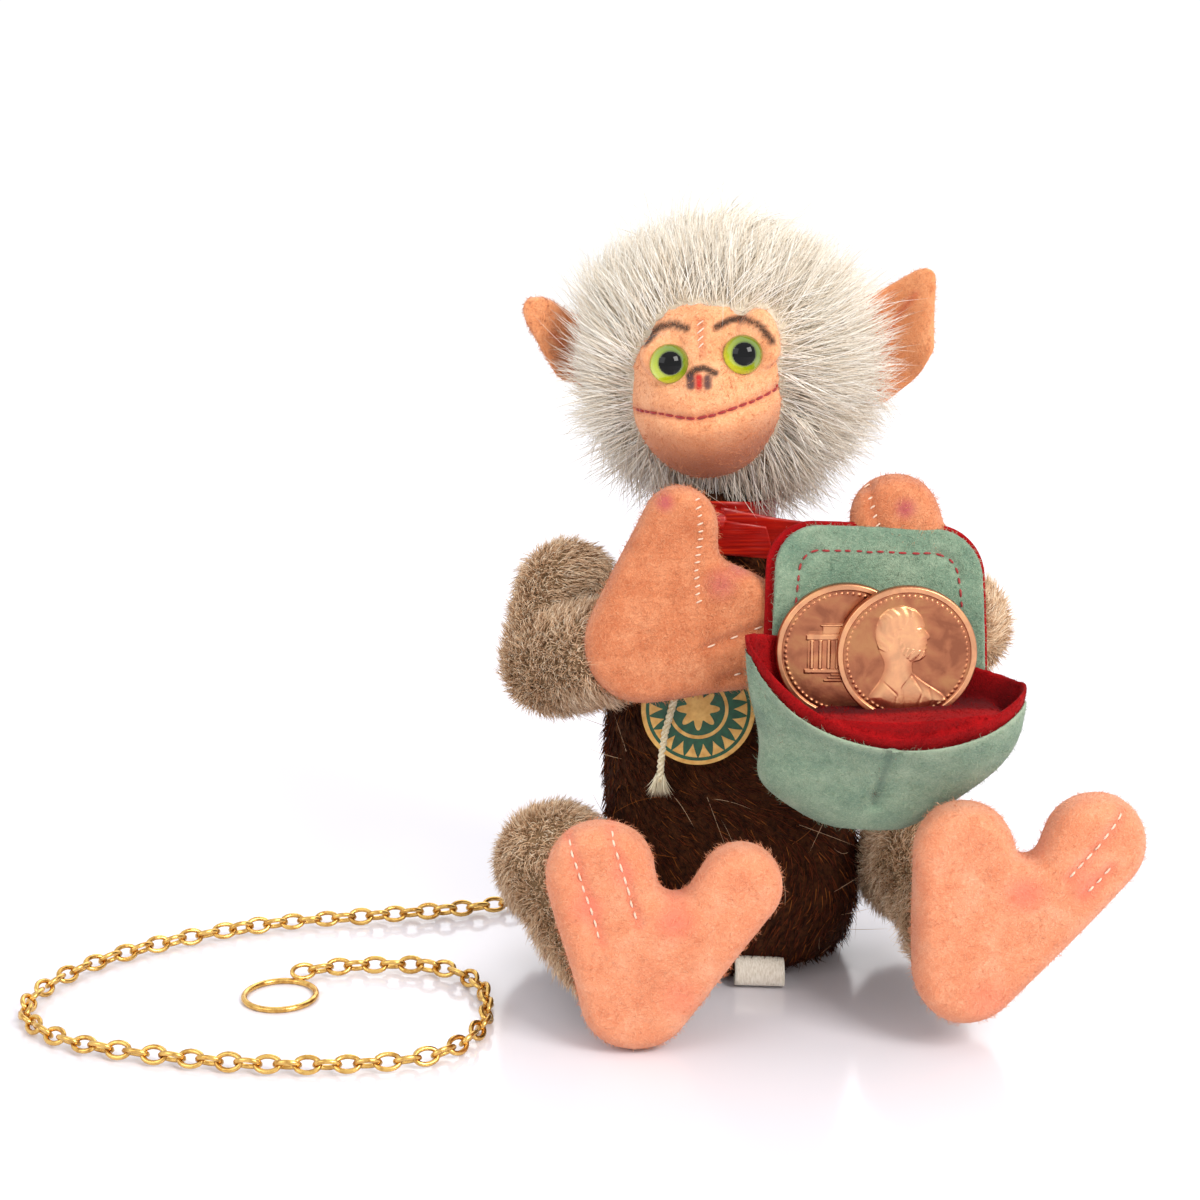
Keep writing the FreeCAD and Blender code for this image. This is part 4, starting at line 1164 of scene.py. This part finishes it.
def outline(rounds, grow, per_round=72):
    """Hull round some circles, each grown by so much; millimetres across and up, turning left."""
    spots = sorted((x + (r + grow) * math.cos(2 * math.pi * k / per_round),
                    z + (r + grow) * math.sin(2 * math.pi * k / per_round))
                   for x, z, r in rounds for k in range(per_round))

    def half(points):
        chain = []
        for point in points:
            while len(chain) > 1 and ((chain[-1][0] - chain[-2][0]) * (point[1] - chain[-2][1])
                                      - (chain[-1][1] - chain[-2][1]) * (point[0] - chain[-2][0])) <= 0:
                chain.pop()
            chain.append(point)
        return chain[:-1]
    return half(spots) + half(spots[::-1])


def felt_sheet(name, rounds, grow, depth, thick, bow):
    """A cut felt sheet that faces the front, with soft edges; bow(points) moves it in depth."""
    edge = outline(rounds, grow)
    count = len(edge)
    points = [(x * MM, y * MM, z * MM) for y in (depth - thick / 2, depth + thick / 2) for x, z in edge]
    faces = [tuple(range(count)), tuple(range(2 * count - 1, count - 1, -1))]
    faces += [(k, count + k, count + (k + 1) % count, (k + 1) % count) for k in range(count)]
    thing = melt(add_object(name, mesh_of(name, points, faces)), 0.28 * MM, 3)
    points = points_of(thing.data)
    points[:, 1] += bow(points)
    move_points(thing.data, points)
    return thing


inset = np.array(outline(PEAK_ROUNDS, -HEM)) * MM


def inside_distance(points):
    """Distance from the peak's stitch line, measured in its plane."""
    flat = points[:, [0, 2]]
    return np.min(np.linalg.norm(flat[:, None] - inset[None], axis=2), axis=1)


def lean_back(points):
    """How far the top of the peak leans back."""
    return 2.0 * MM * ease(points[:, 2], 58 * MM, 74 * MM)


def peak_bow(points):
    """The peak leans back at its top, and its sewn hem stands proud of the line of stitches."""
    sunk = np.exp(-(inside_distance(points) / (0.7 * MM)) ** 2) * 0.45 * MM
    return lean_back(points) + np.where(points[:, 1] < PEAK_DEPTH * MM, sunk, 0)


peak = felt_sheet("cap_peak_felt", PEAK_ROUNDS, 0.0, PEAK_DEPTH - 0.2, 1.3, peak_bow)
finish_piece(peak, "arm_left", ["cap_peak"], material=SAGE_FELT)
felt_fuzz(peak, "arm_left", SAGE_FUZZ, 6000, 0.8, seed=83)
BACKING_ROUNDS = [(24.5, 65.4, 7.2), (7.9, 66.7, 6.4), (4.4, 56.4, 3.2), (29.2, 53.0, 3.2)]
backing_sheet = felt_sheet("cap_peak_backing", BACKING_ROUNDS, 0.1, PEAK_DEPTH + 0.9, 0.9, lean_back)
finish_piece(backing_sheet, "arm_left", material=CRIMSON_FELT)
STITCHED_ABOVE = 52
peak_line = front_line((x, z) for x, z in outline(PEAK_ROUNDS, -HEM) if z > STITCHED_ABOVE)
gaps = [np.linalg.norm(a - b) for a, b in zip(peak_line, peak_line[1:] + peak_line[:1])]
start = int(np.argmax(gaps)) + 1
peak_line = peak_line[start:] + peak_line[:start]
peak_spans = running_stitch(tree_of(peak), peak_line, 1.1 * MM, 0.5 * MM, 9)
thread_work("cap_peak_stitches", peak_spans, 0.17 * MM, RED_THREAD.material, "arm_left")
tack = running_stitch(tree_of(crown), front_line(TACK), 3.4 * MM, 0.3 * MM, 2)
thread_work("cap_tacking_stitch", tack, 0.14 * MM, RED_THREAD.material, "arm_left")

# ---------------------------------------------------------------- coins
COIN_RADIUS = 9.525
COIN_RIM = 0.75
COIN_FIELD = -0.28          # the field lies this far under the rim
BUST = [(-0.9, 6.9), (0.9, 6.4), (2.0, 5.2), (2.35, 4.2), (2.15, 3.7), (3.2, 2.5), (2.6, 2.1), (2.8, 1.6),
        (2.5, 1.3), (2.7, 0.9), (2.4, 0.5), (2.6, -0.1), (1.8, -0.8), (0.7, -1.0), (0.8, -2.6),
        (2.6, -4.0), (5.2, -5.6), (5.8, -6.9), (3.0, -8.0), (-1.0, -8.3), (-4.0, -7.4), (-5.4, -6.0),
        (-3.6, -3.8), (-2.9, -1.4), (-4.0, 0.8), (-4.6, 3.2), (-3.9, 5.4), (-2.6, 6.6)]
HAIR_CAP = [(-0.9, 6.9), (0.9, 6.4), (1.3, 5.6), (0.0, 4.9), (-0.6, 3.6), (-1.6, 3.4), (-1.8, 1.8),
            (-2.7, 0.2), (-4.0, 0.8), (-4.6, 3.2), (-3.9, 5.4), (-2.6, 6.6)]
BEARD = [(2.5, 0.6), (2.6, -0.1), (1.8, -0.8), (0.5, -1.0), (-1.0, 0.4), (-1.5, 2.4), (-0.9, 2.6),
         (-0.2, 1.2), (1.4, 0.9)]
COAT_LINES = [[(0.7, -2.8), (-0.6, -4.6), (-0.2, -7.9)], [(0.9, -3.0), (2.3, -5.2), (1.4, -7.9)],
              [(-3.0, -3.9), (-1.2, -5.6), (-1.6, -8.0)], [(3.2, -4.7), (3.6, -6.4), (2.8, -7.8)]]


def corner_distance(points, corners):
    """Signed distance to a closed outline, positive inside it."""
    corners = np.array(corners, float)
    nearest = np.full(len(points), 1e9)
    inside = np.zeros(len(points), bool)
    for (ax, az), (bx, bz) in zip(corners, np.roll(corners, -1, axis=0)):
        way = np.array([bx - ax, bz - az])
        share = np.clip(((points - [ax, az]) @ way) / (way @ way), 0, 1)
        nearest = np.minimum(nearest, np.linalg.norm(points - [ax, az] - share[:, None] * way, axis=1))
        crossing = (az > points[:, 1]) != (bz > points[:, 1])
        inside ^= crossing & (points[:, 0] < (bx - ax) * (points[:, 1] - az) / (bz - az + 1e-12) + ax)
    return np.where(inside, nearest, -nearest)


def rounded(corners, per_side=5):
    """A closed outline with its corners cut softly."""
    corners = np.array(corners, float)
    shares = np.arange(per_side)[:, None] / per_side
    sides = zip(corners, np.roll(corners, -1, axis=0))
    line = np.concatenate([a * (1 - shares) + b * shares for a, b in sides])
    for _ in range(3):
        line = (np.roll(line, 1, axis=0) + 2 * line + np.roll(line, -1, axis=0)) / 4
    return line


def line_distance(points, corners):
    """Distance of each point from a smooth open line."""
    line = smooth_line(np.array(corners, float), 40)
    return np.min(np.linalg.norm(points[:, None] - line[None], axis=2), axis=1)


def bust_relief(points):
    """A calm profile of textbook proportions, with short hair, a trimmed beard and a coat."""
    body = corner_distance(points, rounded(BUST))
    height = 0.2 * ease(body, 0, 1.5) + 0.09 * ease(body, -0.06, 0.1)
    x, z = points.T
    hair = ease(corner_distance(points, HAIR_CAP), 0, 0.25)
    beard = ease(corner_distance(points, BEARD), 0, 0.25)
    locks = np.sin(5.2 * x + 3.1 * z + 1.5 * np.sin(1.7 * z - x)) * 0.03
    curls = np.sin(7.0 * x - 5.0 * z + np.sin(3 * x)) * 0.028
    height += hair * (0.05 + locks) + beard * (0.04 + curls)

    def mound(at_x, at_z, half_wide, half_tall):
        """A soft oval mound of height one."""
        return np.exp(-(((x - at_x) / half_wide) ** 2 + ((z - at_z) / half_tall) ** 2))

    height += 0.05 * mound(-1.3, 2.9, 0.45, 0.75) - 0.035 * mound(-1.2, 2.9, 0.2, 0.45)
    height += 0.05 * mound(1.5, 3.55, 0.38, 0.16) - 0.05 * mound(1.6, 3.9, 0.5, 0.1)
    for line in COAT_LINES:
        height -= 0.06 * np.exp(-(line_distance(points, line) / 0.14) ** 2) * (body > 0.1)
    return height


def hall_relief(points):
    """A plain columned hall."""
    x, z = points.T

    def block(half_wide, low_z, high_z, rise, at_x=0.0):
        """A flat raised block with soft sides."""
        inner = np.minimum(half_wide - np.abs(x - at_x), np.minimum(z - low_z, high_z - z))
        return rise * ease(inner, -0.05, 0.08)

    base = block(5.6, -3.0, -2.4, 0.14) + block(5.2, -2.4, 2.9, 0.05)
    roof = [block(5.4, 1.7, 2.5, 0.18), block(3.2, 2.5, 3.6, 0.14), block(3.5, 3.6, 3.9, 0.2)]
    columns = [block(0.24, -2.4, 1.7, 0.18, column) for column in np.linspace(-4.6, 4.6, 9)]
    steps = [block(1.9 + 0.5 * k, -3.4 - 0.4 * k, -3.1 - 0.4 * k, 0.13 - 0.03 * k) for k in range(3)]
    return np.maximum.reduce([base, *roof, *columns, *steps])


def coin_face(relief, rings, spokes):
    """Polar grid of one face: places in its plane and heights, from the middle out to the edge."""
    radii = np.linspace(0, COIN_RADIUS, rings + 1)[1:]
    angles = np.linspace(0, 2 * math.pi, spokes, endpoint=False)
    grid_r, grid_a = np.meshgrid(radii, angles, indexing="ij")
    flat = np.stack([grid_r * np.cos(grid_a), grid_r * np.sin(grid_a)], axis=-1).reshape(-1, 2)
    flat = np.concatenate([[[0.0, 0.0]], flat])
    radius = np.linalg.norm(flat, axis=1)
    angle = np.arctan2(flat[:, 1], flat[:, 0])
    height = COIN_FIELD + 1.35 * relief(flat)
    beads = np.cos(angle * 64) > 0.0
    height += 0.14 * beads * np.exp(-((radius - 8.2) / 0.17) ** 2)
    rim_start = COIN_RADIUS - COIN_RIM
    height = np.maximum(height, COIN_FIELD * (1 - ease(radius, rim_start - 0.12, rim_start)))
    height -= 0.16 * ease(radius, COIN_RADIUS - 0.16, COIN_RADIUS)
    return flat, height


def coin(name, node, body, relief, other):
    """A struck coin with a face on each side and a plain edge."""
    centre = middle(node)
    half = half_size(*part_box(node))[1]
    points, faces, reliefs = [], [], []
    for side, pattern, rings, spokes in ((-1, relief, 115, 400), (1, other, 60, 400)):
        flat, height = coin_face(pattern, rings, spokes)
        start = sum(len(p) for p in points)
        across = -side * flat[:, 0]
        points.append(np.stack([across * MM, side * (half + height * MM), flat[:, 1] * MM], axis=1) + centre)
        reliefs.append((height - COIN_FIELD) / 0.34)
        spoke = np.arange(spokes)
        after = (spoke + 1) % spokes
        fan = np.stack([np.zeros(spokes, int), 1 + spoke, 1 + after], axis=1)
        faces += [tuple(start + f) for f in fan]
        for ring in range(rings - 1):
            a, b = 1 + ring * spokes + spoke, 1 + ring * spokes + after
            faces += [tuple(start + f) for f in np.stack([a, a + spokes, b + spokes, b], axis=1)]
        if side < 0:
            edge_front = start + 1 + (rings - 1) * spokes + spoke
        else:
            mirrored = (spokes // 2 - spoke) % spokes
            edge_back = start + 1 + (rings - 1) * spokes + mirrored
    edge = [edge_front, edge_back, np.roll(edge_back, -1), np.roll(edge_front, -1)]
    faces += [tuple(f) for f in np.stack(edge, axis=1)]
    thing = add_object(name, mesh_of(name, np.concatenate(points), faces))
    raised = thing.data.attributes.new("raised", "FLOAT", "POINT")
    raised.data.foreach_set("value", np.clip(np.concatenate(reliefs), 0, 1).astype(np.float32))
    thing.data.materials.append(copper.material)
    fixer = bmesh.new()
    fixer.from_mesh(thing.data)
    bmesh.ops.recalc_face_normals(fixer, faces=fixer.faces)
    fixer.to_mesh(thing.data)
    fixer.free()
    return finish_piece(thing, body, [node])


copper = Shader("copper", colour(190, 120, 84), 0.3, Metallic=1.0)
raised_share = copper.attribute("raised")[2]
aged = copper.ramp(raised_share, [(0.0, colour(150, 92, 62)), (0.3, colour(188, 122, 86)),
                                  (1.0, colour(232, 176, 130))])
stain = copper.ramp(copper.noise(330, 5, distortion=0.5),
                    [(0.36, colour(126, 78, 70)), (0.5, colour(196, 130, 100)),
                     (0.66, colour(222, 170, 118))])
copper.paint(copper.mix(0.32, aged, stain))
copper.rough(copper.noise(500, 4), 0.24, 0.42)
copper.bump(copper.noise(2600, 4), 0.00004, 0.6)
coin("coin_front_struck", "coin_front", "coin_front", bust_relief, hall_relief)
coin("coin_back_struck", "coin_back", "coin_back", hall_relief, bust_relief)

# ---------------------------------------------------------------- ribbon, tag, string and label
satin = Shader("satin", colour(170, 16, 4), 0.38, Specular_IOR_Level=0.4)
thread_lines = satin.noise(900, 3, stretch=(0.15, 0.15, 3.0))
satin.paint(satin.ramp(thread_lines, [(0.3, colour(130, 6, 2)), (0.55, colour(168, 16, 4)),
                                      (0.78, colour(206, 52, 12))]))
satin.bump(thread_lines, 0.00012, 0.6)


def strip(name, rows, thick, material):
    """A thin woven strip through rows of points, with its own thickness."""
    rows = np.array(rows)
    tall, wide = rows.shape[:2]
    faces = [(i * wide + j, i * wide + j + 1, (i + 1) * wide + j + 1, (i + 1) * wide + j)
             for i in range(tall - 1) for j in range(wide - 1)]
    thing = add_object(name, mesh_of(name, rows.reshape(-1, 3), faces))
    body = thing.modifiers.new("thickness", "SOLIDIFY")
    body.thickness = thick
    body.offset = 0
    settle(thing)
    thing.data.materials.append(material)
    return thing


def patch(corners, across, along, depth):
    """Rows of points over four corners (x, z), with a depth given over both shares."""
    (a, b, c, d) = (np.array(corner, float) for corner in corners)
    rows = []
    for v in np.linspace(0, 1, along):
        row = []
        for u in np.linspace(0, 1, across):
            x, z = (a * (1 - u) + b * u) * (1 - v) + (d * (1 - u) + c * u) * v
            row.append(mm(x, depth(u, v), z))
        rows.append(row)
    return rows


collar_low, collar_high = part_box("ribbon_collar")
collar_middle = middle("ribbon_collar")
collar_radius = half_size(collar_low, collar_high)[1] - 0.3 * MM
collar_rows = []
for share in np.linspace(0, 1, 9):
    ring = []
    for turn in np.linspace(0, 2 * math.pi, 121):
        radius = collar_radius + (0.25 * math.sin(5 * turn + 2 * share) + 0.8 * (share - 0.5) ** 2) * MM
        height = collar_low.z + (collar_high.z - collar_low.z) * share + 0.3 * MM * math.sin(3 * turn)
        ring.append(collar_middle * [1, 1, 0] + [radius * math.cos(turn), radius * math.sin(turn), height])
    collar_rows.append(ring)
collar = strip("satin_collar", collar_rows, 0.3 * MM, satin.material)
finish_piece(collar, "torso", ["ribbon_collar"])
TAIL_FRONT = [(-5.8, 71.2), (2.4, 69.9), (3.8, 65.0), (-6.4, 65.9)]
TAIL_BEHIND = [(-4.0, 72.4), (9.0, 69.6), (7.0, 66.2), (-5.0, 67.4)]


def front_depth(u, v):
    """Depth of the front tail of the ribbon, in millimetres."""
    return -13.2 - 0.5 * math.sin(2.6 * u) + 0.5 * v + 0.15 * math.sin(9 * u + 3 * v)


def behind_depth(u, v):
    """Depth of the ribbon's tail behind, in millimetres."""
    return -11.6 + 2.4 * u * u + 0.3 * v + 0.2 * math.sin(8 * u)


def knot_point(turn, share):
    """A place on the knot, round it and from end to end."""
    tall = 1.9 * math.sin(turn) * (1.1 - 0.5 * abs(share))
    return KNOT_MIDDLE + mm(3.0 * share * (1 + 0.12 * math.sin(3 * turn)), 1.2 * math.cos(turn), tall)


tail = strip("satin_tail_front", patch(TAIL_FRONT, 28, 16, front_depth), 0.28 * MM, satin.material)
finish_piece(tail, "torso", ["ribbon_bow"])
behind = strip("satin_tail_behind", patch(TAIL_BEHIND, 28, 12, behind_depth), 0.28 * MM, satin.material)
finish_piece(behind, "torso")
KNOT_MIDDLE = mm(-5.2, -12.3, 70.2)
knot_rows = [[knot_point(turn, share) for turn in np.linspace(0, 2 * math.pi, 33)]
             for share in np.linspace(-0.55, 0.55, 11)]
knot = strip("satin_knot", knot_rows, 0.3 * MM, satin.material)
finish_piece(knot, "torso")

TAG_TEETH = 22
TAG_PETALS = 8.0
TEETH_FROM, TEETH_TO, TEETH_SLOPE = 0.62, 0.86, 1.9
RIM_FROM = 0.92
RING_AT, RING_HALF = 0.5, 0.03
ROSETTE_REACH, PETAL_DEPTH = 0.3, 0.08


def tag_print():
    """Gilt teeth, ring and rosette on green card, worked out from the place on the card."""
    shader = Shader("tag_print", colour(20, 92, 60), 0.42)

    def step(kind, first, second=None):
        """One arithmetic step on outputs or numbers."""
        node = shader.nodes.new("ShaderNodeMath")
        node.operation = kind
        for socket, value in zip(node.inputs, (first, second)):
            if isinstance(value, (int, float)):
                socket.default_value = value
            elif value is not None:
                shader.links.new(value, socket)
        return node.outputs[0]

    spot = shader.nodes.new("ShaderNodeTexCoord").outputs["Object"]
    split = shader.nodes.new("ShaderNodeSeparateXYZ")
    shader.links.new(spot, split.inputs[0])
    across = step("SUBTRACT", split.outputs["X"], float(tag_middle[0]))
    upward = step("SUBTRACT", split.outputs["Z"], float(tag_middle[2]))
    squares = step("ADD", step("MULTIPLY", across, across), step("MULTIPLY", upward, upward))
    reach = step("DIVIDE", step("SQRT", squares), float(tag_radius))
    turn = step("ARCTAN2", upward, across)
    tooth = step("PINGPONG", step("MULTIPLY", turn, TAG_TEETH / (2 * math.pi)), 0.5)
    slope = step("MULTIPLY", step("SUBTRACT", reach, TEETH_FROM), TEETH_SLOPE)
    teeth = step("MULTIPLY", step("GREATER_THAN", slope, tooth), step("LESS_THAN", reach, TEETH_TO))
    rim = step("GREATER_THAN", reach, RIM_FROM)
    ring = step("COMPARE", reach, RING_AT)
    ring.node.inputs[2].default_value = RING_HALF
    petals = step("MULTIPLY", step("COSINE", step("MULTIPLY", turn, TAG_PETALS)), PETAL_DEPTH)
    rosette = step("LESS_THAN", step("SUBTRACT", reach, petals), ROSETTE_REACH)
    gold_share = step("MAXIMUM", step("MAXIMUM", teeth, rim), step("MAXIMUM", ring, rosette))
    gold_ink = shader.two_tone(shader.noise(900, 4), colour(206, 150, 66), colour(240, 196, 112))
    green_ink = shader.two_tone(shader.noise(1200, 4), colour(4, 64, 40), colour(14, 92, 60))
    shader.paint(shader.mix(gold_share, green_ink, gold_ink))
    shader.rough(shader.noise(800, 3), 0.34, 0.52)
    shader.bump(shader.noise(1800, 3), 0.00004, 0.6)
    return shader.material


dress(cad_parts["tag_card"], tag_print())

cotton = Shader("cotton", colour(232, 222, 186), 0.85, Sheen_Weight=0.3)
cotton.paint(cotton.two_tone(cotton.noise(2600, 4), colour(206, 188, 140), colour(244, 238, 212)))
cotton.bump(cotton.noise(3000, 3), 0.0001, 0.7)


def twisted_yarn(name, corners, radius, plies, pitch, material):
    """Plies wound round a line, as one piece."""
    line = smooth_line([mm(*corner) for corner in corners], 120)
    run = run_along(line)
    way = unit(np.gradient(line, axis=0))
    side = unit(np.cross(way, [0, 1.0, 0.02]))
    other = np.cross(way, side)
    points, faces, around = [], [], 8
    for ply in range(plies):
        angle = 2 * math.pi * (run / pitch + ply / plies)
        centre = line + radius * 0.5 * (side * np.cos(angle)[:, None] + other * np.sin(angle)[:, None])
        start = len(points)
        for k in range(len(line)):
            for j in range(around):
                turn = 2 * math.pi * j / around
                outward = side[k] * math.cos(turn) + other[k] * math.sin(turn)
                points.append(centre[k] + radius * 0.62 * outward)
        faces += tube_faces(len(line), around, start)
    thing = add_object(name, mesh_of(name, points, faces))
    thing.data.materials.append(material)
    return thing


STRING_UP = [(-8.2, -10.4, 68.6), (-9.2, -13.6, 64), (-8.6, -16.6, 57), (-7.6, -17.2, 51.6),
             (-7.3, -17.3, 50.4)]
STRING_TAIL = [(-8.6, -16.8, 52), (-10.6, -17.6, 46), (-12.2, -17.8, 40), (-12.7, -17.4, 35.5),
               (-12.8, -17.0, 32.6)]
string_up = twisted_yarn("tag_string_loop", STRING_UP, 0.32 * MM, 2, 1.6 * MM, cotton.material)
finish_piece(string_up, "torso", ["tag_string"])
string_tail = twisted_yarn("tag_string_tail", STRING_TAIL, 0.5 * MM, 3, 2.6 * MM, cotton.material)
finish_piece(string_tail, "torso")
TUFT_HALF_WIDE, TUFT_HALF_DEEP, TUFT_RISE = 0.6, 0.4, 0.9
tuft_corners = [mm(*STRING_TAIL[-1]) + mm(x * TUFT_HALF_WIDE, y * TUFT_HALF_DEEP, TUFT_RISE)
                for x, y in ((-1, -1), (1, -1), (1, 1), (-1, 1))]
tuft_seed = add_object("tuft_seed", mesh_of("tuft_seed", tuft_corners, [(3, 2, 1, 0)]))
tuft_coat = Coat(tuft_seed.data, 240, 91)
bpy.data.objects.remove(tuft_seed)
tuft = tuft_coat.grow("tag_string_tuft", 3.6 * MM, 0.09 * MM, 0.9, wander(tuft_coat.roots, 1 * MM, 4),
                      bend=0.15, jitter=0.13, spread=0.15, segments=3,
                      shades=[plain_hair("cotton_ends", colour(240, 232, 204))])
finish_piece(tuft, "torso")

tape = Shader("label_tape", colour(226, 218, 202), 0.75, Sheen_Weight=0.2)
weave = tape.noise(2400, 3, stretch=(2.0, 1.0, 0.5))
tape.paint(tape.two_tone(weave, colour(206, 196, 178), colour(238, 232, 220)))
tape.bump(weave, 0.00008, 0.7)
label_low, label_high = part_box("sewn_label")
LOOP = [(-14.6, 4.4), (-16.2, 4.7), (-17.4, 3.9), (-18.0, 2.4), (-17.8, 0.9), (-16.9, 0.45), (-15.4, 0.5),
        (-14.2, 1.0)]
loop_line = smooth_line(np.array(LOOP), 26)
label_rows = []
for y, z in loop_line:
    row = []
    for share in np.linspace(0, 1, 14):
        sag = 0.5 * share ** 2 * max(z - 0.6, 0) / 4
        x = label_low.x + (label_high.x - label_low.x) * share
        row.append([x, (y - 0.5 * share) * MM, (z - sag) * MM])
    label_rows.append(row)
label = strip("label_loop", label_rows, 0.22 * MM, tape.material)
finish_piece(label, "torso", ["sewn_label"])

# ---------------------------------------------------------------- joint hardware inside
hardboard = Shader("hardboard", colour(112, 78, 50), 0.85)
board_grain = hardboard.noise(1200, 5)
hardboard.paint(hardboard.two_tone(board_grain, colour(86, 58, 36), colour(136, 98, 66)))
hardboard.bump(board_grain, 0.0001, 0.6)
STEEL = metal("steel", colour(168, 168, 170), colour(120, 122, 126), 0.35)
for name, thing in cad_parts.items():
    if "_disc_" in name or name.endswith("_pin") or name in ("joint_washers", "eye_shanks"):
        dress(thing, hardboard.material if "_disc_" in name else STEEL)
